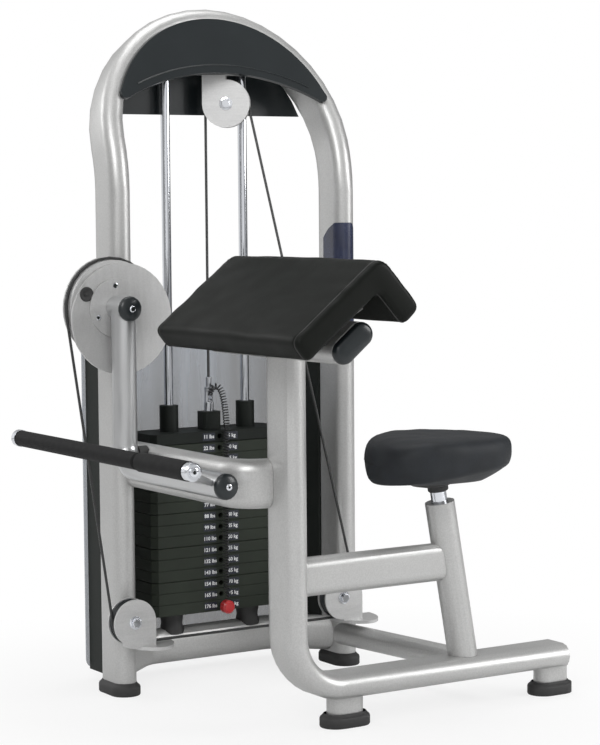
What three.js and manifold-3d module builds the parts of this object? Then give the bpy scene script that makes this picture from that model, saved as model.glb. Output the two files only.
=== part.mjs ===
// Selectorised biceps curl machine: a weight tower with a bent arch, a pivoting curl arm and a user frame.
// Millimetres, +Z up, the user faces -X and the tower stands on the +Y side.
import * as THREE from 'three';
import { mergeVertices } from 'three/addons/utils/BufferGeometryUtils.js';
import Module from 'manifold-3d';

const wasm = await Module();
wasm.setup();

// Clearances and overruns shared by every piece
const CLEAR = 0.3;
const RUNNING = 1;
const OVERRUN = 4;
const WELD_BITE = 5;
const MERGE = 1e-3;

// Flat-oval frame tube and round arm tube
const tube = { wide: 100, thin: 50, endSteps: 6 };
const roundTube = { diameter: 52, steps: 16 };

// Rubber feet and the stubs that carry them
const foot = { thick: 22, rim: 5, stubLong: 80, stubThin: 44 };

// Weight tower
const tower = {
  halfSpan: 284,
  height: 1472,
  kink: 1080,
  kinkRadius: 300,
  leanDegrees: 20,
  archSteps: 20,
  kinkSteps: 4,
};
const crossMember = { tall: 80, thin: 56, centreHeight: 68, setBack: 100, bend: 80, bendSteps: 5, runHalf: 168 };
const topBeam = { tall: 36, deep: 40, underside: 1338, centreY: 98, halfLength: 216 };
const housing = { diameter: 76, front: -58, back: 50, steps: 24 };
const pivot = { x: -330, height: 838, shaft: 30 };

// Header panels
const header = {
  tipHalf: 257,
  tipHeight: 1280,
  crownHeight: 1440,
  underHeight: 1330,
  tipRadius: 12,
  thick: 6,
  bed: 3,
  steps: 18,
};
const rearHeader = { halfWidth: 262, underside: 1250, crownHeight: 1420, thick: 4, y: 119, steps: 16 };

// Clear rear shroud and the black strips that carry it
const shroud = {
  halfWidth: 280,
  bottom: 23,
  top: 800,
  thick: 4,
  y: 164,
  stripThick: 12,
  cornerRadius: 20,
  cornerSteps: 4,
};

// Guide rods, buffers and the weight stack
const rod = { diameter: 20, halfSpan: 98.6, y: 100, steps: 14, grip: 30 };
const buffer = { diameter: 56, steps: 20, waist: 4 };
const plate = {
  width: 342,
  depth: 108,
  pitch: 25.4,
  bottom: 142,
  corner: 12,
  cornerSteps: 1,
  groove: 1.4,
  count: 16,
  boreSteps: 10,
  pinBoreSteps: 8,
};
const bush = { diameter: 42, tall: 58, steps: 18 };
const stem = { diameter: 26, blockWide: 44, blockTall: 40, blockDeep: 36, steps: 12, holeSteps: 8 };
const pin = { diameter: 10, steps: 10, pastStem: 12, neck: 14, neckDiameter: 16 };
const knob = { diameter: 30, long: 22, edge: 4, steps: 18 };
const clevis = {
  coupling: 22,
  couplingTall: 20,
  wide: 18,
  tall: 34,
  thick: 12,
  ferrule: 13,
  ferruleTall: 22,
  steps: 14,
};
const lanyard = { diameter: 12, sides: 6 };

// Cable and its wheels
const cable = { diameter: 6, sides: 8, y: 93, stepDegrees: 15, lowY: -95, camY: -72 };
const wheel = { cableRadius: 45, rimRadius: 48.5, halfThick: 9, rimEdge: 1.5, bore: 12, steps: 22 };
const topWheel = { cableRadius: 47, rimRadius: 51 };
const cheek = { radius: 53, thick: 4, gap: 3, steps: 12, boltHead: 20, boltTall: 7 };
const lowWheel = { leftX: -302, rightX: 226, height: 171 };
const shelf = { radius: 86, halfBack: 62, thick: 7, inset: 46, steps: 12 };
const topWheelHeight = 1274;

// Curl arm
const cam = {
  radius: 117,
  offsetX: 15,
  offsetZ: -23,
  faceThick: 7,
  faceFront: -96,
  wheelRim: 107,
  grooveRadius: 104,
  grooveHalf: 4,
  wheelHalf: 9,
  steps: 40,
  plugAngleDegrees: 156,
  plugAt: 74,
  plugDiameter: 26,
  wrapEndDegrees: 35,
};
const flange = { radius: 62, thick: 5, screwCircle: 47, screwDiameter: 11, sink: 3, steps: 32, screwSteps: 8 };
const screwAnglesDegrees = [94, 204, 324];
const arm = { hubLength: 54, verticalY: -129, bottom: 508, bend: 46, bendSteps: 6, reach: -540 };
const cap = { length: 14, dome: 9, steps: 18, rings: 4 };
const handle = {
  x: -600,
  height: 590,
  near: -895,
  far: -185,
  core: 22,
  gripDiameter: 32,
  gripSplit: -693,
  capDiameter: 34,
  capLength: 16,
  socketDiameter: 36,
  socketFar: -701,
  edge: 3,
  steps: 18,
};
const bracket = { thick: 12, tubeNear: -515, tubeFar: -430, socketNear: -860, socketFar: -710 };
const stop = { height: 532, diameter: 34, steps: 14 };

// User frame
const userFrame = { y: -525, columnX: -180, floorHeight: 85, bend: 112, bendSteps: 10, endX: 496, columnTop: 778 };
const columnFootX = -47;
const seatFootX = 482;
const midBeam = { tall: 80, thin: 42, height: 311 };
const link = { x: -262, height: 500, joinY: -490, bend: 60, bendSteps: 7 };
const brace = { towerX: 262, beamX: 318, diameter: 50, height: 76 };
const seatTube = { diameter: 62, baseX: 249, topX: 191, topHeight: 436, steps: 18 };
const seatPost = { diameter: 34, buried: 200, out: 50, steps: 16 };
const seatBracket = { width: 150, deep: 150, thick: 6, corner: 20, cornerSteps: 3 };
const seatPad = { radius: 150, lobe: 9, lobes: 3, thick: 92, edge: 26, crown: 8, steps: 24, edgeSteps: 3 };
const seatPin = { height: 300, shaft: 10, boss: 26, bossLong: 18, knob: 34, knobLong: 30, steps: 14 };

// Arm pad over a sloping flat-oval support tube
const pad = {
  lowX: -337,
  lowZ: 800,
  crestX: -142,
  crestZ: 956,
  dropX: -52,
  dropZ: 856,
  thick: 51,
  near: -808,
  far: -268,
  round: 20,
  crestRound: 34,
  roundSteps: 4,
};
const padSupport = { halfLength: 232, centreY: -535, centreX: -186, centreZ: 791 };
const padPlate = { thick: 6, inset: 70, low: 34, high: 10, depth: 54, lowDepth: 18 };

// Small helpers
const V = (x, y, z) => new THREE.Vector3(x, y, z);
const P = (x, y) => new THREE.Vector2(x, y);
const radians = THREE.MathUtils.degToRad;
const alongX = V(1, 0, 0);
const alongY = V(0, 1, 0);
const alongZ = V(0, 0, 1);

// A closed solid from any closed geometry, turned outwards
function solid(geometry) {
  const bare = new THREE.BufferGeometry();
  bare.setAttribute('position', geometry.getAttribute('position'));
  if (geometry.index) bare.setIndex(geometry.index);
  const merged = mergeVertices(bare, MERGE);
  const points = merged.getAttribute('position');
  const index = merged.index.array;
  const kept = [];
  let volume = 0;
  const a = V();
  const b = V();
  const c = V();
  for (let i = 0; i < index.length; i += 3) {
    const [p, q, r] = [index[i], index[i + 1], index[i + 2]];
    if (p === q || q === r || r === p) continue;
    a.fromBufferAttribute(points, p);
    b.fromBufferAttribute(points, q);
    c.fromBufferAttribute(points, r);
    volume += a.dot(b.cross(c));
    kept.push(p, q, r);
  }
  if (volume < 0) kept.reverse();
  return new wasm.Manifold(new wasm.Mesh({
    numProp: 3,
    vertProperties: new Float32Array(points.array),
    triVerts: new Uint32Array(kept),
  }));
}

// Rings of equal length joined into a skin, with flat ends triangulated from the ring's own section
function loft(section, rings) {
  const count = section.length;
  const positions = rings.flat().flatMap((point) => point.toArray());
  const index = [];
  for (let i = 0; i + 1 < rings.length; i += 1) {
    for (let j = 0; j < count; j += 1) {
      const a = i * count + j;
      const b = i * count + ((j + 1) % count);
      index.push(a, b, b + count, a, b + count, a + count);
    }
  }
  const last = (rings.length - 1) * count;
  const reversed = THREE.ShapeUtils.isClockWise(section);
  for (const face of THREE.ShapeUtils.triangulateShape(section, [])) {
    const [p, q, r] = reversed ? face.reverse() : face;
    index.push(r, q, p, last + p, last + q, last + r);
  }
  const geometry = new THREE.BufferGeometry();
  geometry.setAttribute('position', new THREE.Float32BufferAttribute(positions, 3));
  geometry.setIndex(index);
  return solid(geometry);
}

// A section carried along stations, each with a place and the two directions of the section
function sweep(section, stations) {
  return loft(section, stations.map(({ at, u, v }) => section.map((point) => (
    at.clone().addScaledVector(u, point.x).addScaledVector(v, point.y)))));
}

function roundSection(radius, steps) {
  return Array.from({ length: steps }, (_, i) => {
    const angle = (i / steps) * Math.PI * 2;
    return P(radius * Math.cos(angle), radius * Math.sin(angle));
  });
}

// Flat-oval section, its long axis first
function ovalSection(wide, thin, steps) {
  const points = [];
  for (const side of [1, -1]) {
    for (let i = 0; i <= steps; i += 1) {
      const angle = (i / steps - 0.5) * Math.PI;
      points.push(P(side * ((wide - thin) / 2 + (thin / 2) * Math.cos(angle)), side * (thin / 2) * Math.sin(angle)));
    }
  }
  return points;
}

// Places along a path of straight runs whose corners are rounded by arcs
function filletedPath(corners, radius, steps) {
  const path = [{ at: corners[0], along: corners[1].clone().sub(corners[0]).normalize() }];
  for (let i = 1; i + 1 < corners.length; i += 1) {
    const into = corners[i].clone().sub(corners[i - 1]).normalize();
    const out = corners[i + 1].clone().sub(corners[i]).normalize();
    const turn = into.angleTo(out);
    const setBack = radius * Math.tan(turn / 2);
    const start = corners[i].clone().addScaledVector(into, -setBack);
    const inward = out.clone().addScaledVector(into, -out.dot(into)).normalize();
    for (let j = 0; j <= steps; j += 1) {
      const angle = (j / steps) * turn;
      path.push({
        at: start.clone().addScaledVector(into, radius * Math.sin(angle))
          .addScaledVector(inward, radius * (1 - Math.cos(angle))),
        along: into.clone().multiplyScalar(Math.cos(angle)).addScaledVector(inward, Math.sin(angle)),
      });
    }
  }
  const end = corners[corners.length - 1];
  path.push({ at: end, along: end.clone().sub(corners[corners.length - 2]).normalize() });
  return path;
}

// Stations of a flat path, the section's first direction held to the side of that path's plane
function flatStations(path, side) {
  return path.map(({ at, along }) => ({ at, u: side, v: along.clone().cross(side).normalize() }));
}

// Stations of a path in space, the section carried without twist
function freeStations(points) {
  const stations = [];
  let u = null;
  points.forEach((at, i) => {
    const before = points[Math.max(i - 1, 0)];
    const after = points[Math.min(i + 1, points.length - 1)];
    const along = after.clone().sub(before).normalize();
    if (!u) u = Math.abs(along.y) < 0.9 ? alongY.clone() : alongX.clone();
    u = u.clone().addScaledVector(along, -u.dot(along)).normalize();
    stations.push({ at, u, v: along.clone().cross(u) });
  });
  return stations;
}

// A straight bar of any section between two points
function bar(section, from, to, side) {
  return sweep(section, flatStations([from, to].map((at) => ({ at, along: to.clone().sub(from) })), side));
}

function rodAlong(diameter, steps, from, to) {
  return sweep(roundSection(diameter / 2, steps), freeStations([from, to]));
}

// Plates: flat on the floor plane from a height upwards, or upright in the XZ plane from a back face forwards
function flatPlate(shape, thick, z) {
  const geometry = new THREE.ExtrudeGeometry(shape, { depth: thick, bevelEnabled: false, steps: 1 });
  geometry.translate(0, 0, z);
  return solid(geometry);
}

function uprightPlate(shape, thick, backY) {
  const geometry = new THREE.ExtrudeGeometry(shape, { depth: thick, bevelEnabled: false, steps: 1 });
  geometry.rotateX(Math.PI / 2);
  geometry.translate(0, backY, 0);
  return solid(geometry);
}

// Turned pieces about a line along Y, or about an upright line
function turnedY(profile, steps, x, z) {
  const geometry = new THREE.LatheGeometry(profile, steps);
  geometry.translate(x, 0, z);
  return solid(geometry);
}

function turnedZ(profile, steps, x, y) {
  const geometry = new THREE.LatheGeometry(profile, steps);
  geometry.rotateX(Math.PI / 2);
  geometry.translate(x, y, 0);
  return solid(geometry);
}

function roundedRect(width, depth, radius, steps) {
  const points = [];
  for (let corner = 0; corner < 4; corner += 1) {
    const sx = corner === 0 || corner === 3 ? 1 : -1;
    const sy = corner < 2 ? 1 : -1;
    for (let i = 0; i <= steps; i += 1) {
      const angle = (corner + i / steps) * (Math.PI / 2);
      points.push(P(
        sx * (width / 2 - radius) + radius * Math.cos(angle),
        sy * (depth / 2 - radius) + radius * Math.sin(angle),
      ));
    }
  }
  return points;
}

// Materials
const finish = {
  silver: new THREE.MeshStandardMaterial({ color: '#b9bab8', roughness: 0.38, metalness: 0.55 }),
  bareSteel: new THREE.MeshStandardMaterial({ color: '#c4c5c4', roughness: 0.42, metalness: 0.8 }),
  chrome: new THREE.MeshStandardMaterial({ color: '#e2e4e8', roughness: 0.08, metalness: 1 }),
  blackPaint: new THREE.MeshStandardMaterial({ color: '#161818', roughness: 0.5, metalness: 0.1 }),
  blackGloss: new THREE.MeshStandardMaterial({ color: '#111419', roughness: 0.2, metalness: 0 }),
  rubber: new THREE.MeshStandardMaterial({ color: '#141414', roughness: 0.8, metalness: 0 }),
  vinyl: new THREE.MeshStandardMaterial({ color: '#121315', roughness: 0.55, metalness: 0 }),
  red: new THREE.MeshStandardMaterial({ color: '#b81f24', roughness: 0.35, metalness: 0 }),
  smoked: new THREE.MeshStandardMaterial({ color: '#7d8588', roughness: 0.15, metalness: 0 }),
};

const machine = new THREE.Group();

function addPart(name, material, manifold) {
  const mesh = manifold.getMesh();
  const stride = mesh.numProp;
  const source = mesh.vertProperties;
  const positions = new Float32Array((source.length / stride) * 3);
  for (let i = 0; i < positions.length / 3; i += 1) {
    positions.set(source.subarray(i * stride, i * stride + 3), i * 3);
  }
  const geometry = new THREE.BufferGeometry();
  geometry.setAttribute('position', new THREE.BufferAttribute(positions, 3));
  geometry.setIndex(Array.from(mesh.triVerts));
  geometry.computeVertexNormals();
  const part = new THREE.Mesh(geometry, material);
  part.name = name;
  machine.add(part);
}

// Tower arch: two upright posts that kink backwards and close in a half circle
const lean = radians(tower.leanDegrees);
const archRadius = tower.halfSpan;
const bendLength = tower.kinkRadius * lean;
const archTop = tower.kink + bendLength
  + (tower.height - tower.kink - tower.kinkRadius * Math.sin(lean)) / Math.cos(lean);
const archCentre = archTop - tube.thin / 2 - archRadius;

// Where a length measured up the leaning post lies, and how far it has turned back there
function leanAt(length) {
  const turn = THREE.MathUtils.clamp((length - tower.kink) / tower.kinkRadius, 0, lean);
  const rest = Math.max(0, length - tower.kink - bendLength);
  return {
    turn,
    y: tower.kinkRadius * (1 - Math.cos(turn)) + rest * Math.sin(lean),
    z: Math.min(length, tower.kink) + tower.kinkRadius * Math.sin(turn) + rest * Math.cos(lean),
  };
}

// The leaning plane's length at a given height above the kink
function lengthAt(height) {
  return tower.kink + bendLength
    + (height - tower.kink - tower.kinkRadius * Math.sin(lean)) / Math.cos(lean);
}

function archStation(angle, length) {
  const { turn, y, z } = leanAt(length);
  const upwards = V(0, Math.sin(turn), Math.cos(turn));
  return {
    at: V(archRadius * Math.cos(angle), y, z),
    u: V(0, Math.cos(turn), -Math.sin(turn)),
    v: alongX.clone().multiplyScalar(Math.cos(angle)).addScaledVector(upwards, Math.sin(angle)),
  };
}

function archSolid(grow) {
  const postLengths = [foot.thick + CLEAR];
  for (let i = 0; i <= tower.kinkSteps; i += 1) postLengths.push(tower.kink + (i / tower.kinkSteps) * bendLength);
  const stations = postLengths.map((length) => archStation(Math.PI, length));
  for (let i = 0; i <= tower.archSteps; i += 1) {
    const angle = Math.PI * (1 - i / tower.archSteps);
    stations.push(archStation(angle, archCentre + archRadius * Math.sin(angle)));
  }
  stations.push(...postLengths.reverse().map((length) => archStation(0, length)));
  return sweep(ovalSection(tube.wide + 2 * grow, tube.thin + 2 * grow, tube.endSteps), stations);
}

const postFront = -tube.wide / 2;
const postBack = tube.wide / 2;
const archGrown = archSolid(CLEAR);

function makeArch() {
  const barrel = rodAlong(housing.diameter, housing.steps, V(pivot.x, housing.front, pivot.height),
    V(pivot.x, housing.back, pivot.height));
  const bore = rodAlong(pivot.shaft + 2 * RUNNING, housing.steps, V(pivot.x, housing.front - OVERRUN, pivot.height),
    V(pivot.x, housing.back + OVERRUN, pivot.height));
  addPart('tower_arch', finish.silver, archSolid(0).add(barrel).subtract(bore));
}

// Cross member: bowed back behind the posts to carry the rods
function crossMemberSolid() {
  const height = crossMember.centreHeight;
  const path = filletedPath([
    V(-tower.halfSpan, 0, height),
    V(-crossMember.runHalf, crossMember.setBack, height),
    V(crossMember.runHalf, crossMember.setBack, height),
    V(tower.halfSpan, 0, height),
  ], crossMember.bend, crossMember.bendSteps);
  return sweep(ovalSection(crossMember.tall, crossMember.thin, tube.endSteps), flatStations(path, alongZ));
}

const rodPlaces = [-rod.halfSpan, rod.halfSpan];
const rodFoot = crossMember.centreHeight + crossMember.tall / 2 - rod.grip;
const rodTop = topBeam.underside + rod.grip;
const bufferFoot = crossMember.centreHeight + crossMember.tall / 2 - crossMember.thin / 4;

function rodHole(x, from, to) {
  return rodAlong(rod.diameter + 2 * CLEAR, rod.steps, V(x, rod.y, from), V(x, rod.y, to));
}

function makeTowerFrame() {
  let member = crossMemberSolid().subtract(archGrown);
  for (const x of rodPlaces) {
    const seatTop = crossMember.centreHeight + crossMember.tall;
    const seat = rodAlong(buffer.diameter + 2 * CLEAR, buffer.steps, V(x, rod.y, bufferFoot), V(x, rod.y, seatTop));
    member = member.subtract(seat).subtract(rodHole(x, rodFoot - CLEAR, seatTop));
  }
  addPart('cross_member', finish.silver, member);

  const middle = topBeam.underside + topBeam.tall / 2;
  const beamSection = roundedRect(topBeam.deep, topBeam.tall, topBeam.deep / 8, 1);
  let beam = bar(beamSection, V(-topBeam.halfLength, topBeam.centreY, middle),
    V(topBeam.halfLength, topBeam.centreY, middle), alongY).subtract(archGrown);
  for (const x of rodPlaces) beam = beam.subtract(rodHole(x, topBeam.underside - OVERRUN, rodTop + CLEAR));
  addPart('rod_top_beam', finish.silver, beam);

  rodPlaces.forEach((x, i) => {
    const side = ['left', 'right'][i];
    addPart(`guide_rod_${side}`, finish.chrome,
      rodAlong(rod.diameter, rod.steps, V(x, rod.y, rodFoot), V(x, rod.y, rodTop)));
    const outer = buffer.diameter / 2;
    const inner = rod.diameter / 2 + CLEAR;
    const low = bufferFoot + CLEAR;
    const high = plate.bottom - CLEAR;
    const waistHeight = (low + high) / 2;
    addPart(`buffer_${side}`, finish.rubber, turnedZ([
      P(inner, low), P(outer, low), P(outer - buffer.waist, waistHeight), P(outer, high), P(inner, high),
      P(inner, low),
    ], buffer.steps, x, rod.y));
  });
}

function makeTowerFeet() {
  [-tower.halfSpan, tower.halfSpan].forEach((x, i) => {
    const outline = ovalSection(tube.wide + 2 * foot.rim, tube.thin + 2 * foot.rim, tube.endSteps + 2);
    const sole = bar(outline, V(x, 0, 0), V(x, 0, foot.thick), alongY);
    addPart(`tower_foot_${['left', 'right'][i]}`, finish.rubber, sole);
  });
}

// An arc through two tips and a crown, as points from one tip to the other
function crownArc(half, tipHeight, crownHeight, steps) {
  const rise = crownHeight - tipHeight;
  const radius = (half * half + rise * rise) / (2 * rise);
  const spread = Math.asin(Math.min(1, half / radius));
  const reach = rise > half ? Math.PI - spread : spread;
  return Array.from({ length: steps + 1 }, (_, i) => {
    const angle = reach * (2 * (i / steps) - 1);
    return P(radius * Math.sin(angle), crownHeight - radius + radius * Math.cos(angle));
  });
}

// Header panels: a black crescent on the arch's nose and a plain panel behind the rods
function makeHeader() {
  const tipLength = lengthAt(header.tipHeight);
  const upper = crownArc(header.tipHalf, tipLength, lengthAt(header.crownHeight), header.steps);
  const lower = crownArc(header.tipHalf - header.tipRadius, tipLength - header.tipRadius,
    lengthAt(header.underHeight), header.steps);
  const outline = [...upper, ...lower.reverse()];
  const front = (point, lift) => {
    const { turn, y, z } = leanAt(point.y);
    const out = -tube.wide / 2 - lift;
    return V(point.x, y + out * Math.cos(turn), z - out * Math.sin(turn));
  };
  addPart('header_front', finish.blackGloss, loft(outline, [
    outline.map((point) => front(point, -header.bed)),
    outline.map((point) => front(point, CLEAR + header.thick)),
  ]).subtract(archGrown));
  const rear = crownArc(rearHeader.halfWidth, rearHeader.underside, rearHeader.crownHeight, rearHeader.steps);
  addPart('header_rear', finish.blackGloss, uprightPlate(new THREE.Shape(rear), rearHeader.thick,
    rearHeader.y + rearHeader.thick).subtract(archGrown));
}

// Rear shroud: a clear sheet with rounded top corners between two black strips behind the posts
function makeShroud() {
  const height = shroud.top - shroud.bottom;
  const outline = roundedRect(2 * shroud.halfWidth, height, shroud.cornerRadius, shroud.cornerSteps)
    .map((point) => P(point.x, point.y + shroud.bottom + height / 2));
  const sheet = uprightPlate(new THREE.Shape(outline), shroud.thick, shroud.y + shroud.thick);
  addPart('rear_shroud', finish.smoked, sheet);
  [-1, 1].forEach((side, i) => {
    const x = side * (shroud.halfWidth - shroud.stripThick);
    const from = postBack - WELD_BITE;
    const until = shroud.y - CLEAR;
    const middle = (from + until) / 2;
    const strip = bar(roundedRect(shroud.stripThick, until - from, shroud.stripThick / 4, 1),
      V(x, middle, shroud.bottom), V(x, middle, shroud.top - shroud.cornerRadius), alongX)
      .subtract(archGrown).subtract(crossMemberSolid());
    addPart(`shroud_strip_${['left', 'right'][i]}`, finish.blackPaint, strip);
  });
}

// Weight plates: a stack of chamfered plates, bored for the rods and the stem, with a hole for the pin
function plateGroup(first, count) {
  const low = plate.bottom + first * plate.pitch;
  const full = roundedRect(plate.width, plate.depth, plate.corner, plate.cornerSteps);
  const shrink = (point) => P(
    point.x * (1 - (2 * plate.groove) / plate.width),
    point.y * (1 - (2 * plate.groove) / plate.depth),
  );
  const ring = (points, z) => points.map((point) => V(point.x, point.y + rod.y, z));
  const rings = [];
  for (let i = 0; i < count; i += 1) {
    const z = low + i * plate.pitch;
    if (i === 0) rings.push(ring(full.map(shrink), z));
    rings.push(ring(full, z + plate.groove));
    rings.push(ring(full, z + plate.pitch - plate.groove));
    const last = i === count - 1;
    rings.push(ring(full.map(shrink), z + plate.pitch - (last ? CLEAR : 0)));
  }
  let body = loft(full, rings);
  const top = low + count * plate.pitch;
  for (const x of rodPlaces) {
    body = body.subtract(rodAlong(rod.diameter + 4 * RUNNING, plate.boreSteps, V(x, rod.y, low - OVERRUN),
      V(x, rod.y, top + OVERRUN)));
  }
  body = body.subtract(rodAlong(stem.diameter + 2 * RUNNING, plate.boreSteps, V(0, cable.y, low - OVERRUN),
    V(0, cable.y, top + OVERRUN)));
  for (let i = 0; i < count; i += 1) {
    const z = low + (i + 0.5) * plate.pitch;
    body = body.subtract(rodAlong(pin.diameter + 2 * RUNNING, plate.pinBoreSteps,
      V(0, rod.y - plate.depth / 2 - OVERRUN, z), V(0, cable.y + stem.diameter / 2 + pin.pastStem, z)));
  }
  return body;
}

const groupSizes = [3, 3, 3, 3, 3];
const stackTop = plate.bottom + plate.count * plate.pitch;
const plateFront = rod.y - plate.depth / 2;
const pinHeight = plate.bottom + plate.pitch / 2;

function makeStack() {
  let first = 0;
  groupSizes.forEach((count, i) => {
    addPart(`weight_plates_${i + 1}`, finish.blackPaint, plateGroup(first, count));
    first += count;
  });

  let head = plateGroup(plate.count - 1, 1);
  for (const x of rodPlaces) {
    const collar = rodAlong(bush.diameter, bush.steps, V(x, rod.y, stackTop - plate.pitch / 2),
      V(x, rod.y, stackTop + bush.tall));
    const bore = rodAlong(rod.diameter + 2 * RUNNING, rod.steps, V(x, rod.y, stackTop - plate.pitch * 2),
      V(x, rod.y, stackTop + bush.tall + OVERRUN));
    head = head.add(collar).subtract(bore);
  }
  addPart('head_plate', finish.blackPaint, head);

  const block = bar(roundedRect(stem.blockWide, stem.blockDeep, stem.blockDeep / 8, 1),
    V(0, cable.y, stackTop), V(0, cable.y, stackTop + stem.blockTall), alongX);
  let shaft = rodAlong(stem.diameter, stem.steps, V(0, cable.y, plate.bottom + CLEAR),
    V(0, cable.y, stackTop + stem.blockTall / 2));
  for (let i = 0; i < plate.count; i += 1) {
    const z = plate.bottom + (i + 0.5) * plate.pitch;
    shaft = shaft.subtract(rodAlong(pin.diameter + 2 * RUNNING, stem.holeSteps, V(0, cable.y - stem.diameter, z),
      V(0, cable.y + stem.diameter, z)));
  }
  addPart('selector_stem', finish.blackPaint, shaft.add(block));

  const tip = cable.y + stem.diameter / 2 + pin.pastStem - RUNNING;
  const neckFront = plateFront - RUNNING - pin.neck;
  const pinRadius = pin.diameter / 2;
  addPart('selector_pin', finish.chrome, turnedY([
    P(0, neckFront), P(pin.neckDiameter / 2, neckFront), P(pin.neckDiameter / 2, plateFront - RUNNING),
    P(pinRadius, plateFront - RUNNING), P(pinRadius, tip - pinRadius), P(pinRadius / 2, tip), P(0, tip),
  ], pin.steps, 0, pinHeight));
  const knobBack = neckFront - CLEAR;
  const knobRadius = knob.diameter / 2;
  addPart('selector_knob', finish.red, turnedY([
    P(0, knobBack - knob.long), P(knobRadius - knob.edge, knobBack - knob.long),
    P(knobRadius, knobBack - knob.long + knob.edge), P(knobRadius, knobBack - knob.edge),
    P(knobRadius - knob.edge, knobBack), P(0, knobBack),
  ], knob.steps, 0, pinHeight));

  addPart('cable_end', finish.chrome, cableEnd());
}

const endFoot = stackTop + stem.blockTall + CLEAR;
const endTop = endFoot + clevis.couplingTall + clevis.tall + clevis.ferruleTall;

function cableEnd() {
  const couplingTop = endFoot + clevis.couplingTall;
  const forkTop = couplingTop + clevis.tall;
  const fork = bar(roundedRect(clevis.wide, clevis.thick, clevis.thick / 4, 1),
    V(0, cable.y, couplingTop - RUNNING), V(0, cable.y, forkTop), alongX);
  const slot = rodAlong(clevis.wide / 2, clevis.steps, V(0, cable.y - clevis.thick, couplingTop + clevis.tall / 3),
    V(0, cable.y + clevis.thick, couplingTop + clevis.tall / 3));
  return rodAlong(clevis.coupling, clevis.steps, V(0, cable.y, endFoot), V(0, cable.y, couplingTop))
    .add(fork.subtract(slot))
    .add(rodAlong(clevis.ferrule, clevis.steps, V(0, cable.y, forkTop - RUNNING), V(0, cable.y, endTop)));
}

// Curly lanyard of the pin, as one fat tube: out of the fork, over the head plate and down to the pin's knob
const lanyardRoute = [
  [0, 80.6, 624], [3, 79.8, 640], [11, 75, 645], [17, 68, 636], [19, 60, 618], [18, 52, 596], [16, 44, 575], [13, 37, 555],
  [10, 34, 530], [8, 33, 490], [7, 33, 440], [6, 33, 390], [6, 33, 340], [5, 33, 290], [5, 33, 240],
  [4, 30, 205], [2, 22, 188], [1, 20, 170.3],
];

function makeLanyard() {
  const points = lanyardRoute.map(([x, y, z]) => V(x, y, z));
  addPart('lanyard', finish.rubber, sweep(roundSection(lanyard.diameter / 2, lanyard.sides), freeStations(points)));
}

// Depth of a groove that clears the cable's own facets
function grooveBed(cableRadius) {
  const sag = cableRadius * (1 - Math.cos(radians(cable.stepDegrees / 2)));
  return cableRadius - cable.diameter / 2 - sag - CLEAR;
}

// Cable wheels and their brackets
function wheelSolid(x, y, z, cableRadius, rimRadius) {
  const half = wheel.halfThick;
  const bed = grooveBed(cableRadius);
  const bore = wheel.bore / 2 + RUNNING;
  return turnedY([
    P(bore, y - half), P(rimRadius, y - half), P(rimRadius, y - half + wheel.rimEdge), P(bed, y - cable.diameter / 2),
    P(bed, y + cable.diameter / 2), P(rimRadius, y + half - wheel.rimEdge), P(rimRadius, y + half), P(bore, y + half),
    P(bore, y - half),
  ], wheel.steps, x, z);
}

// A round cheek whose right half runs straight to its foot, below or above
function cheekShape(x, z, left, right, end, radius) {
  const points = [];
  const down = end < z;
  for (let i = 0; i <= cheek.steps; i += 1) {
    const angle = Math.PI * (i / cheek.steps);
    points.push(P(x + radius * Math.cos(angle), z + (down ? 1 : -1) * radius * Math.sin(angle)));
  }
  points.push(P(x - left, end), P(x + right, end));
  return new THREE.Shape(points);
}

function boltHead(x, z, y, direction) {
  return rodAlong(cheek.boltHead, 6, V(x, y - direction, z), V(x, y + direction * cheek.boltTall, z));
}

function lowBracket(x) {
  const z = lowWheel.height;
  const y = cable.lowY;
  const shelfTop = z - cheek.radius - CLEAR;
  const frontBack = y - wheel.halfThick - cheek.gap;
  const rearBack = y + wheel.halfThick + cheek.gap + cheek.thick;
  const shelfCentre = x + shelf.inset;
  const outline = [];
  for (let i = 0; i <= shelf.steps; i += 1) {
    const angle = -Math.PI * (i / shelf.steps);
    outline.push(P(shelfCentre + shelf.halfBack * Math.cos(angle), postFront + shelf.radius * Math.sin(angle)));
  }
  const shelfPlate = flatPlate(new THREE.Shape(outline), shelf.thick, shelfTop - shelf.thick);
  const front = cheekShape(x, z, 0, cheek.radius, shelfTop - RUNNING, cheek.radius);
  const axle = rodAlong(wheel.bore, wheel.steps / 2, V(x, frontBack - cheek.thick / 2, z),
    V(x, rearBack - cheek.thick / 2, z));
  return shelfPlate.add(uprightPlate(front, cheek.thick, frontBack))
    .add(uprightPlate(front, cheek.thick, rearBack))
    .add(axle)
    .add(boltHead(x, z, frontBack - cheek.thick, -1))
    .subtract(archGrown);
}

// The top wheel is turned about the stack's cable so that the cable leaves it towards the right low wheel
const topTurn = Math.atan2(cable.y - cable.lowY, lowWheel.rightX + wheel.cableRadius);
const topAcross = V(Math.cos(topTurn), -Math.sin(topTurn), 0);

function turnTop(body) {
  return body.translate([0, -cable.y, 0]).rotate([0, 0, -THREE.MathUtils.radToDeg(topTurn)])
    .translate([0, cable.y, 0]);
}

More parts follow.
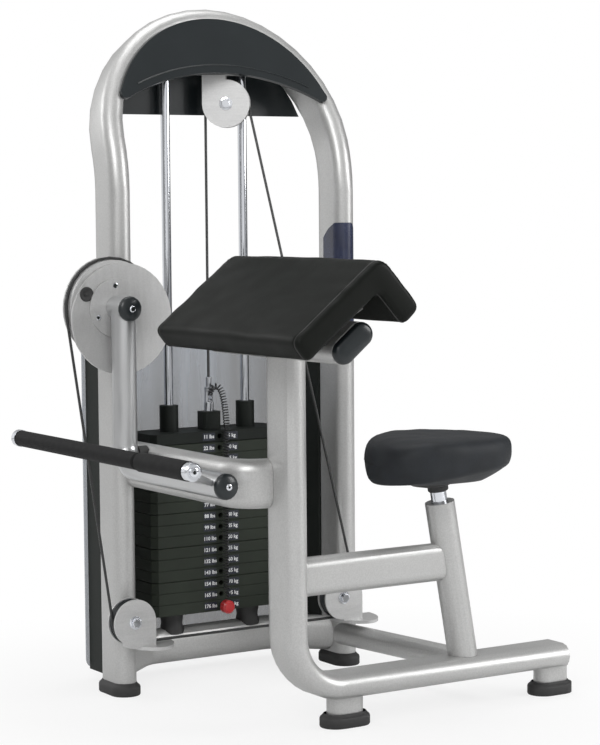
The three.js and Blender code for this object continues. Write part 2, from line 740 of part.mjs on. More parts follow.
// Two cheeks hung from a cap plate under the top beam
function topBracket() {
  const x = topWheel.cableRadius;
  const z = topWheelHeight;
  const capTop = topBeam.underside - CLEAR;
  const front = cable.y - wheel.halfThick - cheek.gap;
  const rear = cable.y + wheel.halfThick + cheek.gap;
  const side = cheekShape(x, z, cheek.radius, cheek.radius, capTop, cheek.radius);
  const capPlate = new THREE.Shape([
    P(x - cheek.radius, front - cheek.thick), P(x + cheek.radius, front - cheek.thick),
    P(x + cheek.radius, rear + cheek.thick), P(x - cheek.radius, rear + cheek.thick),
  ]);
  const axle = rodAlong(wheel.bore, wheel.steps / 2, V(x, front - cheek.thick / 2, z), V(x, rear + cheek.thick / 2, z));
  return turnTop(uprightPlate(side, cheek.thick, front)
    .add(uprightPlate(side, cheek.thick, rear + cheek.thick))
    .add(flatPlate(capPlate, cheek.thick, capTop - cheek.thick))
    .add(axle)
    .add(boltHead(x, z, front - cheek.thick, -1)));
}

function makeWheels() {
  const y = cable.lowY;
  addPart('wheel_left', finish.blackPaint,
    wheelSolid(lowWheel.leftX, y, lowWheel.height, wheel.cableRadius, wheel.rimRadius));
  addPart('wheel_right', finish.blackPaint,
    wheelSolid(lowWheel.rightX, y, lowWheel.height, wheel.cableRadius, wheel.rimRadius));
  addPart('wheel_top', finish.blackPaint, turnTop(
    wheelSolid(topWheel.cableRadius, cable.y, topWheelHeight, topWheel.cableRadius, topWheel.rimRadius)));
  addPart('wheel_bracket_left', finish.bareSteel, lowBracket(lowWheel.leftX));
  addPart('wheel_bracket_right', finish.bareSteel, lowBracket(lowWheel.rightX));
  addPart('wheel_bracket_top', finish.bareSteel, topBracket());
}

// Cable: over the top wheel, down across the front, under both low wheels and up round the cam
function tangentDegrees(from, fromRadius, to, toRadius) {
  const across = P(to.x - from.x, to.y - from.y);
  const heading = THREE.MathUtils.radToDeg(Math.atan2(across.y, across.x));
  return heading + 90 + THREE.MathUtils.radToDeg(Math.asin((toRadius - fromRadius) / across.length()));
}

// Points on an arc taken clockwise from one angle to a lower one
function clockwise(centre, radius, y, fromDegrees, toDegrees) {
  const steps = Math.max(1, Math.ceil((fromDegrees - toDegrees) / cable.stepDegrees));
  return Array.from({ length: steps + 1 }, (_, i) => {
    const angle = radians(fromDegrees + ((toDegrees - fromDegrees) * i) / steps);
    return V(centre.x + radius * Math.cos(angle), y, centre.y + radius * Math.sin(angle));
  });
}

function makeCable() {
  const top = P(topWheel.cableRadius, topWheelHeight);
  const right = P(lowWheel.rightX, lowWheel.height);
  const left = P(lowWheel.leftX, lowWheel.height);
  const centre = P(pivot.x, pivot.height);
  const lowReach = P(Math.hypot(lowWheel.rightX + wheel.cableRadius, cable.y - cable.lowY) - wheel.cableRadius,
    lowWheel.height);
  const leaving = tangentDegrees(top, topWheel.cableRadius, lowReach, wheel.cableRadius);
  const exit = P(2 * topWheel.cableRadius * topAcross.x, topWheelHeight);
  const down = tangentDegrees(exit, 0, right, wheel.cableRadius) - 360;
  const along = tangentDegrees(right, wheel.cableRadius, left, wheel.cableRadius) - 360;
  const up = tangentDegrees(left, wheel.cableRadius, centre, cam.grooveRadius);
  const points = [
    V(0, cable.y, topWheelHeight - OVERRUN),
    ...clockwise(top, topWheel.cableRadius, cable.y, 180, leaving).map((point) => (
      V(0, cable.y, point.z).addScaledVector(topAcross, point.x))),
    ...clockwise(right, wheel.cableRadius, cable.lowY, down + 360, along),
    ...clockwise(left, wheel.cableRadius, cable.lowY, along + 360, up),
    ...clockwise(centre, cam.grooveRadius, cable.camY, up, cam.wrapEndDegrees),
  ];
  const section = roundSection(cable.diameter / 2, cable.sides);
  addPart('cable_main', finish.rubber, sweep(section, freeStations(points)));
  addPart('cable_stack_run', finish.rubber, sweep(section, freeStations([
    V(0, cable.y, endTop + CLEAR), V(0, cable.y, topWheelHeight - OVERRUN - CLEAR),
  ])));
}

// Cam: a grooved wheel round the pivot with an offset round face plate in front of it
function makeCam() {
  const faceBack = cam.faceFront + cam.faceThick;
  const bore = pivot.shaft / 2 + CLEAR;
  const back = cable.camY + cam.wheelHalf;
  const bed = grooveBed(cam.grooveRadius);
  addPart('cam_wheel', finish.bareSteel, turnedY([
    P(bore, faceBack + CLEAR), P(bed, faceBack + CLEAR), P(bed, cable.camY + cam.grooveHalf),
    P(cam.wheelRim, cable.camY + cam.grooveHalf + 2 * CLEAR), P(cam.wheelRim, back), P(bore, back),
    P(bore, faceBack + CLEAR),
  ], cam.steps, pivot.x, pivot.height));
  const x = pivot.x + cam.offsetX;
  const z = pivot.height + cam.offsetZ;
  const faceShape = new THREE.Shape(roundSection(cam.radius, cam.steps).map((point) => P(point.x + x, point.y + z)));
  const plugAngle = radians(cam.plugAngleDegrees);
  const plugX = pivot.x + cam.plugAt * Math.cos(plugAngle);
  const plugZ = pivot.height + cam.plugAt * Math.sin(plugAngle);
  const face = uprightPlate(faceShape, cam.faceThick, faceBack)
    .subtract(rodAlong(pivot.shaft + 2 * CLEAR, housing.steps, V(pivot.x, cam.faceFront - OVERRUN, pivot.height),
      V(pivot.x, faceBack + OVERRUN, pivot.height)))
    .subtract(rodAlong(cam.plugDiameter, flange.steps / 2, V(plugX, cam.faceFront - OVERRUN, plugZ),
      V(plugX, faceBack + OVERRUN, plugZ)));
  addPart('cam_face', finish.bareSteel, face);

  const flangeFront = cam.faceFront - CLEAR - flange.thick;
  let disc = rodAlong(2 * flange.radius, flange.steps, V(pivot.x, flangeFront, pivot.height),
    V(pivot.x, cam.faceFront - CLEAR, pivot.height));
  for (const degrees of screwAnglesDegrees) {
    const sx = pivot.x + flange.screwCircle * Math.cos(radians(degrees));
    const sz = pivot.height + flange.screwCircle * Math.sin(radians(degrees));
    disc = disc.subtract(rodAlong(flange.screwDiameter, flange.screwSteps, V(sx, flangeFront - OVERRUN, sz),
      V(sx, flangeFront + flange.sink, sz)));
  }
  addPart('pivot_flange', finish.bareSteel, disc.subtract(rodAlong(pivot.shaft + 2 * CLEAR, housing.steps,
    V(pivot.x, flangeFront - OVERRUN, pivot.height), V(pivot.x, cam.faceFront + OVERRUN, pivot.height))));
  addPart('pivot_shaft', finish.chrome, rodAlong(pivot.shaft, housing.steps,
    V(pivot.x, flangeFront - WELD_BITE, pivot.height), V(pivot.x, housing.back + WELD_BITE, pivot.height)));
}

const hubBack = cam.faceFront - flange.thick - 2 * CLEAR;
const hubFront = hubBack - arm.hubLength;

// Movement arm: a hub tube, a drop tube bent towards the user's hands and a plate out to the handle socket
function makeArm() {
  const hub = rodAlong(roundTube.diameter, roundTube.steps, V(pivot.x, hubFront, pivot.height),
    V(pivot.x, hubBack, pivot.height));
  const pocket = rodAlong(pivot.shaft + 2 * CLEAR, housing.steps, V(pivot.x, hubBack + OVERRUN, pivot.height),
    V(pivot.x, hubBack - WELD_BITE - CLEAR, pivot.height));
  const drop = sweep(roundSection(roundTube.diameter / 2, roundTube.steps), flatStations(filletedPath([
    V(pivot.x, arm.verticalY, pivot.height),
    V(pivot.x, arm.verticalY, arm.bottom),
    V(pivot.x, arm.reach, arm.bottom),
  ], arm.bend, arm.bendSteps), alongX));
  const across = V(handle.x - pivot.x, 0, handle.height - arm.bottom).normalize();
  const upwards = across.clone().cross(alongY);
  const socketOuter = rodAlong(handle.socketDiameter + 2 * CLEAR, handle.steps,
    V(handle.x, handle.near - OVERRUN, handle.height), V(handle.x, handle.socketFar + OVERRUN, handle.height));
  const tubeEdge = roundTube.diameter / 4;
  const reach = Math.hypot(handle.x - pivot.x, handle.height - arm.bottom);
  const corners = [
    P(tubeEdge, bracket.tubeFar), P(reach, bracket.socketFar), P(reach, bracket.socketNear),
    P(tubeEdge, bracket.tubeNear),
  ];
  const place = (point, lift) => V(pivot.x, point.y, arm.bottom).addScaledVector(across, point.x)
    .addScaledVector(upwards, lift);
  const web = loft(corners, [-bracket.thick / 2, bracket.thick / 2].map((lift) => (
    corners.map((point) => place(point, lift))))).subtract(socketOuter);
  addPart('movement_arm', finish.silver, hub.add(drop).subtract(pocket).add(web));
  addPart('hub_cap', finish.blackGloss, domedCap(pivot.x, hubFront - CLEAR, pivot.height, roundTube.diameter));
  addPart('arm_end_cap', finish.blackGloss, domedCap(pivot.x, arm.reach - CLEAR, arm.bottom, roundTube.diameter));
}

// A domed cap that closes a tube's near end
function domedCap(x, backY, z, diameter) {
  const radius = diameter / 2;
  const profile = [P(0, backY), P(radius, backY), P(radius, backY - cap.length + cap.dome)];
  for (let i = 1; i <= cap.rings; i += 1) {
    const angle = (i / cap.rings) * (Math.PI / 2);
    profile.push(P(radius * Math.cos(angle), backY - cap.length + cap.dome - cap.dome * Math.sin(angle)));
  }
  return turnedY(profile, cap.steps, x, z);
}

// Handle: a steel core with chrome ends, a long grip and the socket that holds it
function makeHandle() {
  const core = handle.core / 2;
  const end = handle.capDiameter / 2;
  const edge = handle.edge;
  const nearBack = handle.near + handle.capLength;
  const farFront = handle.far - handle.capLength;
  addPart('handle_bar', finish.chrome, turnedY([
    P(0, handle.near), P(end - edge, handle.near), P(end, handle.near + edge), P(end, nearBack), P(core, nearBack),
    P(core, farFront), P(end, farFront), P(end, handle.far - edge), P(end - edge, handle.far), P(0, handle.far),
  ], handle.steps, handle.x, handle.height));
  const sleeve = (outer, from, to) => turnedY([
    P(core + CLEAR, from), P(outer - edge, from), P(outer, from + edge), P(outer, to - edge), P(outer - edge, to),
    P(core + CLEAR, to), P(core + CLEAR, from),
  ], handle.steps, handle.x, handle.height);
  addPart('handle_grip', finish.rubber, sleeve(handle.gripDiameter / 2, handle.gripSplit, farFront - CLEAR));
  addPart('handle_socket', finish.blackGloss, sleeve(handle.socketDiameter / 2, nearBack + CLEAR, handle.socketFar));
}

// User frame
const floorTop = userFrame.floorHeight + tube.thin / 2;

function columnSolid(grow) {
  const path = filletedPath([
    V(userFrame.columnX, userFrame.y, userFrame.columnTop),
    V(userFrame.columnX, userFrame.y, userFrame.floorHeight),
    V(userFrame.endX, userFrame.y, userFrame.floorHeight),
  ], userFrame.bend, userFrame.bendSteps);
  return sweep(ovalSection(tube.wide + 2 * grow, tube.thin + 2 * grow, tube.endSteps), flatStations(path, alongY));
}

// The line of the seat tube and the post inside it
const seatBase = V(seatTube.baseX, userFrame.y, floorTop);
const seatTop = V(seatTube.topX, userFrame.y, seatTube.topHeight);
const seatLine = seatTop.clone().sub(seatBase).normalize();

function seatTubeSolid(grow) {
  return rodAlong(seatTube.diameter + 2 * grow, seatTube.steps, seatBase.clone().addScaledVector(seatLine,
    -seatTube.diameter / 4), seatTop);
}

function makeUserFrame() {
  let column = columnSolid(0);
  for (const x of [columnFootX, seatFootX]) {
    column = column.add(bar(ovalSection(foot.stubLong, foot.stubThin, tube.endSteps),
      V(x, userFrame.y, foot.thick + CLEAR), V(x, userFrame.y, userFrame.floorHeight), alongX));
  }
  const support = padSupportTube(CLEAR);
  addPart('main_column', finish.silver, column.subtract(support));
  [columnFootX, seatFootX].forEach((x, i) => {
    const rubber = bar(ovalSection(foot.stubLong + 4 * foot.rim, foot.stubThin + 4 * foot.rim, tube.endSteps + 2),
      V(x, userFrame.y, 0), V(x, userFrame.y, foot.thick), alongX);
    addPart(['column_foot', 'seat_foot'][i], finish.rubber, rubber);
  });

  const columnGrown = columnSolid(CLEAR);
  const seatGrown = seatTubeSolid(CLEAR);
  const seatAt = (height) => seatBase.x + (seatLine.x / seatLine.z) * (height - seatBase.z);
  const beam = bar(ovalSection(midBeam.tall, midBeam.thin, tube.endSteps),
    V(userFrame.columnX + tube.thin / 4, userFrame.y, midBeam.height),
    V(seatAt(midBeam.height), userFrame.y, midBeam.height), alongZ);
  addPart('mid_beam', finish.silver, beam.subtract(columnGrown).subtract(seatGrown));

  const bore = rodAlong(seatPost.diameter + 2 * RUNNING, seatPost.steps,
    seatTop.clone().addScaledVector(seatLine, -seatPost.buried - OVERRUN),
    seatTop.clone().addScaledVector(seatLine, OVERRUN));
  const pinY = userFrame.y + seatTube.diameter / 2;
  const pinX = seatAt(seatPin.height);
  const boss = rodAlong(seatPin.boss, seatPin.steps, V(pinX, pinY - WELD_BITE, seatPin.height),
    V(pinX, pinY + seatPin.bossLong, seatPin.height));
  const pinBore = rodAlong(seatPin.shaft + 2 * CLEAR, seatPin.steps, V(pinX, userFrame.y, seatPin.height),
    V(pinX, pinY + seatPin.bossLong + OVERRUN, seatPin.height));
  addPart('seat_tube', finish.silver, seatTubeSolid(0).subtract(columnGrown).add(boss).subtract(bore)
    .subtract(pinBore));
  const bossEnd = pinY + seatPin.bossLong;
  const shaftTip = userFrame.y + seatPost.diameter / 2 + CLEAR;
  const knobStart = bossEnd + CLEAR;
  addPart('seat_pin', finish.rubber, turnedY([
    P(0, shaftTip), P(seatPin.shaft / 2, shaftTip), P(seatPin.shaft / 2, knobStart),
    P(seatPin.knob / 2 - knob.edge, knobStart), P(seatPin.knob / 2, knobStart + knob.edge),
    P(seatPin.knob / 2, knobStart + seatPin.knobLong - knob.edge),
    P(seatPin.knob / 2 - knob.edge, knobStart + seatPin.knobLong), P(0, knobStart + seatPin.knobLong),
  ], seatPin.steps, pinX, seatPin.height));

  const braceFrom = V(brace.towerX, postFront + WELD_BITE, brace.height);
  const braceTo = V(brace.beamX, userFrame.y + tube.wide / 4, brace.height);
  addPart('diagonal_brace', finish.silver, rodAlong(brace.diameter, roundTube.steps, braceFrom, braceTo)
    .subtract(archGrown).subtract(columnGrown));

  const linkPath = filletedPath([
    V(link.x, postFront + tube.thin / 2, link.height),
    V(link.x, link.joinY, link.height),
    V(userFrame.columnX, link.joinY, link.height),
  ], link.bend, link.bendSteps);
  addPart('link_tube', finish.silver, sweep(ovalSection(tube.wide, tube.thin, tube.endSteps),
    flatStations(linkPath, alongZ)).subtract(archGrown).subtract(columnGrown));
  addPart('arm_stop', finish.rubber, rodAlong(stop.diameter, stop.steps,
    V(pivot.x + roundTube.diameter / 2 + RUNNING, arm.verticalY, stop.height),
    V(link.x - tube.thin / 2 + tube.thin / 8, arm.verticalY, stop.height))
    .subtract(bar(ovalSection(tube.wide + 2 * CLEAR, tube.thin + 2 * CLEAR, tube.endSteps),
      V(link.x, postFront, link.height), V(link.x, link.joinY / 2, link.height), alongZ)));
}

// Seat post, seat plate and seat pad
const postTop = seatTop.clone().addScaledVector(seatLine, seatPost.out);

function makeSeat() {
  const post = rodAlong(seatPost.diameter, seatPost.steps,
    seatTop.clone().addScaledVector(seatLine, -seatPost.buried), postTop.clone().addScaledVector(seatLine,
      seatBracket.thick));
  const outline = roundedRect(seatBracket.width, seatBracket.deep, seatBracket.corner, seatBracket.cornerSteps)
    .map((point) => P(point.x + postTop.x, point.y + userFrame.y));
  const plateSolid = flatPlate(new THREE.Shape(outline), seatBracket.thick, postTop.z);
  const trim = flatPlate(new THREE.Shape(roundedRect(seatBracket.width * 2, seatBracket.deep * 2,
    seatBracket.corner, 1).map((point) => P(point.x + postTop.x, point.y + userFrame.y))),
  seatBracket.thick + OVERRUN * 2, postTop.z + seatBracket.thick);
  addPart('seat_post', finish.chrome, post.add(plateSolid).subtract(trim));
  addPart('seat_pad', finish.vinyl, seatPadSolid());
}

// Seat pad: a softly three-lobed round cushion with rolled edges and a low crown
function seatPadSolid() {
  const low = postTop.z + seatBracket.thick + CLEAR;
  const outline = (inset, z) => Array.from({ length: seatPad.steps }, (_, i) => {
    const angle = (i / seatPad.steps) * Math.PI * 2;
    const radius = seatPad.radius + seatPad.lobe * Math.cos(seatPad.lobes * angle) - inset;
    return V(postTop.x + radius * Math.cos(angle), userFrame.y + radius * Math.sin(angle), z);
  });
  const rings = [];
  const side = seatPad.thick - seatPad.crown;
  for (let i = 0; i <= seatPad.edgeSteps; i += 1) {
    const angle = (i / seatPad.edgeSteps) * (Math.PI / 2);
    rings.push(outline(seatPad.edge * (1 - Math.sin(angle)), low + seatPad.edge * (1 - Math.cos(angle))));
  }
  for (let i = 0; i <= seatPad.edgeSteps; i += 1) {
    const angle = (i / seatPad.edgeSteps) * (Math.PI / 2);
    rings.push(outline(seatPad.edge * (1 - Math.cos(angle)), low + side - seatPad.edge * (1 - Math.sin(angle))));
  }
  rings.push(outline(seatPad.radius / 2, low + seatPad.thick));
  return loft(outline(0, 0).map((point) => P(point.x, point.y)), rings);
}

// The pad's slope, from its low outer corner to its crest, and the direction under it
const slope = P(pad.crestX - pad.lowX, pad.crestZ - pad.lowZ).normalize();
const under = P(slope.y, -slope.x);

function roundedOutline(corners, radii, steps) {
  const points = [];
  corners.forEach((corner, i) => {
    const before = corners[(i + corners.length - 1) % corners.length];
    const after = corners[(i + 1) % corners.length];
    const into = before.clone().sub(corner).normalize();
    const out = after.clone().sub(corner).normalize();
    const half = Math.acos(into.dot(out)) / 2;
    const setBack = Math.min(radii[i] / Math.tan(half), before.distanceTo(corner) / 2, after.distanceTo(corner) / 2);
    const start = corner.clone().addScaledVector(into, setBack);
    const end = corner.clone().addScaledVector(out, setBack);
    const curve = new THREE.QuadraticBezierCurve(start, corner, end);
    points.push(...curve.getPoints(steps));
  });
  return points;
}

function padOutline() {
  const low = P(pad.lowX, pad.lowZ);
  const crest = P(pad.crestX, pad.crestZ);
  const drop = P(pad.dropX, pad.dropZ);
  const fall = drop.clone().sub(crest).normalize();
  const inward = P(fall.y, -fall.x).multiplyScalar(pad.thick);
  const lowInner = low.clone().addScaledVector(under, pad.thick);
  const dropInner = drop.clone().add(inward);
  const t = dropInner.clone().sub(lowInner);
  const cross = slope.x * fall.y - slope.y * fall.x;
  const along = (t.x * fall.y - t.y * fall.x) / cross;
  const crotch = lowInner.clone().addScaledVector(slope, along);
  return roundedOutline([low, crest, drop, dropInner, crotch, lowInner],
    [pad.round, pad.crestRound, pad.round, pad.round, pad.round, pad.round], pad.roundSteps);
}

// Support tube under the pad: flat-oval, lying along Y with its long axis along the slope
function padSupportTube(grow) {
  const along = V(slope.x, 0, slope.y);
  const section = ovalSection(tube.wide + 2 * grow, tube.thin + 2 * grow, tube.endSteps);
  const half = padSupport.halfLength;
  const centre = V(padSupport.centreX, padSupport.centreY, padSupport.centreZ);
  return bar(section, centre.clone().addScaledVector(alongY, -half), centre.clone().addScaledVector(alongY, half),
    along);
}

function makePad() {
  const outline = padOutline();
  addPart('arm_pad', finish.vinyl, uprightPlate(new THREE.Shape(outline), pad.far - pad.near, pad.far));

  const padGrown = uprightPlate(new THREE.Shape(outline), pad.far - pad.near + 2 * OVERRUN, pad.far + OVERRUN)
    .translate([under.x * CLEAR, 0, under.y * CLEAR]);
  const lowInner = P(pad.lowX, pad.lowZ).addScaledVector(under, pad.thick);
  const at = (alongSlope, below) => lowInner.clone().addScaledVector(slope, alongSlope).addScaledVector(under, below);
  const full = P(pad.crestX - pad.lowX, pad.crestZ - pad.lowZ).length();
  let support = padSupportTube(0);
  for (const y of [padSupport.centreY - padSupport.halfLength + padPlate.inset,
    padSupport.centreY + padSupport.halfLength - padPlate.inset]) {
    const shape = new THREE.Shape([at(padPlate.low, 0), at(full - padPlate.high, 0), at(full - padPlate.high,
      padPlate.depth), at(padPlate.low, padPlate.lowDepth)]);
    support = support.add(uprightPlate(shape, padPlate.thick, y));
  }
  addPart('pad_support', finish.silver, support.subtract(padGrown));

  const section = ovalSection(tube.wide - 2 * foot.rim / 5, tube.thin - 2 * foot.rim / 5, tube.endSteps);
  const inner = ovalSection(tube.wide - 4 * foot.rim, tube.thin - 4 * foot.rim, tube.endSteps);
  [-1, 1].forEach((side, i) => {
    const start = padSupport.centreY + side * (padSupport.halfLength + CLEAR);
    const station = (y) => ({
      at: V(padSupport.centreX, y, padSupport.centreZ),
      u: V(slope.x, 0, slope.y),
      v: V(-slope.y, 0, slope.x),
    });
    const ring = (points, y) => points.map((point) => (
      station(y).at.addScaledVector(station(y).u, point.x).addScaledVector(station(y).v, point.y)));
    addPart(`pad_support_cap_${['near', 'far'][i]}`, finish.blackGloss, loft(section, [
      ring(section, start), ring(section, start + side * (cap.length - cap.dome)), ring(inner,
        start + side * cap.length),
    ]));
  });
}

makeArch();
makeTowerFrame();
makeTowerFeet();
makeHeader();
makeShroud();
makeStack();
makeLanyard();
makeWheels();
makeCable();
makeCam();
makeArm();
makeHandle();
makeUserFrame();
makeSeat();
makePad();

// The origin is the middle of the machine's footprint on the floor
const box = new THREE.Box3().setFromObject(machine);
machine.position.set(-(box.min.x + box.max.x) / 2, -(box.min.y + box.max.y) / 2, -box.min.z);
machine.updateMatrixWorld(true);

export default machine;
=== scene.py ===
"""Looks of a biceps curl machine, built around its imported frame.

The scene is in metres, and the tables of shapes are in the drawing's millimetres.
"""
import math

import bmesh
import bpy
from mathutils import Matrix, Vector, noise


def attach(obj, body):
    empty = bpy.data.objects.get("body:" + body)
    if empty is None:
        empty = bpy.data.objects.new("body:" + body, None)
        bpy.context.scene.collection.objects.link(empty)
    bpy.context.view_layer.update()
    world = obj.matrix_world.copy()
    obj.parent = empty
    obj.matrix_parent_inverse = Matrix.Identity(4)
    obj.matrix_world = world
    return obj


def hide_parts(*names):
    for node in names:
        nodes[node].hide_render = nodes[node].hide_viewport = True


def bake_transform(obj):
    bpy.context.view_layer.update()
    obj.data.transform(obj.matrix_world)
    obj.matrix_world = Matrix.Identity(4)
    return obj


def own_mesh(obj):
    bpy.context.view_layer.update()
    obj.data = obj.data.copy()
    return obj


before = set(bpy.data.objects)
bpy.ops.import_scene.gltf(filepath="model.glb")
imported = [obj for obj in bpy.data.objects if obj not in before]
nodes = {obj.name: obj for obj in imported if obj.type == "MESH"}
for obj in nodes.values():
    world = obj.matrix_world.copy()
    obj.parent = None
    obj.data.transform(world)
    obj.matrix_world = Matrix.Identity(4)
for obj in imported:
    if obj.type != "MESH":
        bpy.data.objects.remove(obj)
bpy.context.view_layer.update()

# The drawing's origin lies between the tower posts, and the frame's in the middle of the footprint
SHIFT = Vector((0.04286328125, 0.3635, 0.0))
MM_PER_METRE = 1000


def mm(x, y, z):
    """A place of the drawing in the scene."""
    return Vector((x, y, z)) / MM_PER_METRE + SHIFT


# Camera, fitted to the photograph
CAMERA = {"at": (-2495.12, -4240.34, 1057.73), "heading": 32.29, "down": 4.4, "roll": -0.48, "lens": 133.92,
          "sensor": 36, "clip_metres": 60}


def make_camera():
    heading, down, roll = (math.radians(CAMERA[k]) for k in ("heading", "down", "roll"))
    ahead = Vector((math.sin(heading) * math.cos(down), math.cos(heading) * math.cos(down), -math.sin(down)))
    level = Vector((math.cos(heading), -math.sin(heading), 0))
    above = level.cross(ahead)
    right = level * math.cos(roll) + above * math.sin(roll)
    up = above * math.cos(roll) - level * math.sin(roll)
    data = bpy.data.cameras.new("camera")
    data.sensor_fit = "HORIZONTAL"
    data.sensor_width = CAMERA["sensor"]
    data.lens = CAMERA["lens"]
    data.clip_end = CAMERA["clip_metres"]
    camera = bpy.data.objects.new("camera", data)
    turn = Matrix((right, up, -ahead)).transposed().to_4x4()
    camera.matrix_world = Matrix.Translation(mm(*CAMERA["at"])) @ turn
    bpy.context.scene.collection.objects.link(camera)
    bpy.context.scene.camera = camera


# Lamps: name, place and target in metres, size, power
LAMPS = [
    ("lamp_key", (-3.4, -3.0, 3.4), (0.0, 0.0, 0.7), 2.0, 84),
    ("lamp_fill", (3.6, -3.0, 2.2), (0.1, 0.0, 0.6), 2.2, 104),
    ("lamp_top", (0.3, 0.6, 4.4), (0.0, 0.0, 0.6), 2.4, 52),
    ("lamp_rim", (-2.6, 3.0, 2.6), (0.0, 0.2, 0.8), 1.4, 24),
]
# Grey of the surroundings as soft light, and the greys that glossy surfaces mirror from right to left
WORLD_GREY = 0.46
GLOSS_STOPS = ((0.0, 0.10), (0.22, 0.34), (0.48, 0.52), (0.66, 0.95), (0.86, 0.82), (1.0, 0.3))
# Turns a direction's X, from 1 on the right to -1 on the left, into a share from 0 to 1
GLOSS_SHARE = {"times": -0.5, "plus": 0.5}


def make_lamps():
    for name, at, target, size, power in LAMPS:
        data = bpy.data.lights.new(name, "AREA")
        data.size = size
        data.energy = power
        lamp = bpy.data.objects.new(name, data)
        lamp.location = at
        lamp.rotation_euler = (Vector(target) - Vector(at)).to_track_quat("-Z", "Y").to_euler()
        bpy.context.scene.collection.objects.link(lamp)


def link(tree, source, target):
    tree.links.new(source, target)


def make_world():
    """A white backdrop, an even grey as soft light, and graded greys for glossy surfaces to mirror."""
    world = bpy.data.worlds.new("studio")
    bpy.context.scene.world = world
    world.use_nodes = True
    tree = world.node_tree
    tree.nodes.clear()
    out = tree.nodes.new("ShaderNodeOutputWorld")
    path = tree.nodes.new("ShaderNodeLightPath")
    coord = tree.nodes.new("ShaderNodeTexCoord")
    split = tree.nodes.new("ShaderNodeSeparateXYZ")
    ramp = tree.nodes.new("ShaderNodeValToRGB")
    stops = ramp.color_ramp.elements
    while len(stops) < len(GLOSS_STOPS):
        stops.new(0.5)
    for stop, (position, grey) in zip(stops, GLOSS_STOPS):
        stop.position = position
        stop.color = (grey, grey, grey, 1)
    share = tree.nodes.new("ShaderNodeMath")
    share.operation = "MULTIPLY_ADD"
    share.inputs[1].default_value = GLOSS_SHARE["times"]
    share.inputs[2].default_value = GLOSS_SHARE["plus"]
    link(tree, coord.outputs["Generated"], split.inputs[0])
    link(tree, split.outputs["X"], share.inputs[0])
    link(tree, share.outputs[0], ramp.inputs[0])
    plain = tree.nodes.new("ShaderNodeBackground")
    plain.inputs[0].default_value = (WORLD_GREY, WORLD_GREY, WORLD_GREY, 1)
    seen = tree.nodes.new("ShaderNodeBackground")
    seen.inputs[0].default_value = (1, 1, 1, 1)
    gloss = tree.nodes.new("ShaderNodeBackground")
    link(tree, ramp.outputs[0], gloss.inputs[0])
    first = tree.nodes.new("ShaderNodeMixShader")
    second = tree.nodes.new("ShaderNodeMixShader")
    direct = tree.nodes.new("ShaderNodeMath")
    direct.operation = "MAXIMUM"
    link(tree, path.outputs["Is Glossy Ray"], first.inputs[0])
    link(tree, plain.outputs[0], first.inputs[1])
    link(tree, gloss.outputs[0], first.inputs[2])
    link(tree, path.outputs["Is Camera Ray"], direct.inputs[0])
    link(tree, path.outputs["Is Transmission Ray"], direct.inputs[1])
    link(tree, direct.outputs[0], second.inputs[0])
    link(tree, first.outputs[0], second.inputs[1])
    link(tree, seen.outputs[0], second.inputs[2])
    link(tree, second.outputs[0], out.inputs[0])


# The floor, in metres: it keeps a faint shade near the machine and is as white as the backdrop further out
FLOOR_HALF = 9
FLOOR_DROP = 0.0005
FLOOR_GREY = 0.86
FLOOR_WHITE_SHARE = 0.78
FLOOR_FADE = (0.55, 1.25)


def make_floor():
    mesh = bpy.data.meshes.new("floor")
    h = FLOOR_HALF
    mesh.from_pydata([(-h, -h, 0), (h, -h, 0), (h, h, 0), (-h, h, 0)], [], [(0, 1, 2, 3)])
    floor = bpy.data.objects.new("floor", mesh)
    floor.location.z = -FLOOR_DROP
    bpy.context.scene.collection.objects.link(floor)
    material = bpy.data.materials.new("floor_white")
    material.use_nodes = True
    tree = material.node_tree
    tree.nodes.clear()
    out = tree.nodes.new("ShaderNodeOutputMaterial")
    diffuse = tree.nodes.new("ShaderNodeBsdfDiffuse")
    diffuse.inputs[0].default_value = (FLOOR_GREY, FLOOR_GREY, FLOOR_GREY, 1)
    glow = tree.nodes.new("ShaderNodeEmission")
    glow.inputs[0].default_value = (1, 1, 1, 1)
    path = tree.nodes.new("ShaderNodeLightPath")
    coord = tree.nodes.new("ShaderNodeTexCoord")
    reach = tree.nodes.new("ShaderNodeVectorMath")
    reach.operation = "LENGTH"
    share = tree.nodes.new("ShaderNodeMapRange")
    share.inputs["From Min"].default_value, share.inputs["From Max"].default_value = FLOOR_FADE
    share.inputs["To Min"].default_value = FLOOR_WHITE_SHARE
    whole = tree.nodes.new("ShaderNodeMath")
    whole.operation = "MULTIPLY"
    link(tree, coord.outputs["Object"], reach.inputs[0])
    link(tree, reach.outputs["Value"], share.inputs["Value"])
    link(tree, share.outputs[0], whole.inputs[1])
    mix = tree.nodes.new("ShaderNodeMixShader")
    link(tree, path.outputs["Is Camera Ray"], whole.inputs[0])
    link(tree, whole.outputs[0], mix.inputs[0])
    link(tree, diffuse.outputs[0], mix.inputs[1])
    link(tree, glow.outputs[0], mix.inputs[2])
    link(tree, mix.outputs[0], out.inputs[0])
    floor.data.materials.append(material)


# What all finishes share: colour patches, flakes in the paint, uneven gloss, fine bump and soft edges
CLOUD = {"detail": 5, "low": 0.3, "high": 0.7}
FLECK = {"scale": 330, "detail": 1, "low": 0.35, "high": 0.65}
ROUGH_SHARES = {"low": 0.82, "high": 1.2}
BUMP = {"detail": 3, "strength": 0.6}
EDGE = {"radius": 0.0008, "samples": 4}
COAT_ROUGH = 0.08


def noise_node(tree, source, scale, detail):
    made = tree.nodes.new("ShaderNodeTexNoise")
    made.inputs["Scale"].default_value = scale
    made.inputs["Detail"].default_value = detail
    link(tree, source, made.inputs["Vector"])
    return made.outputs["Fac"]


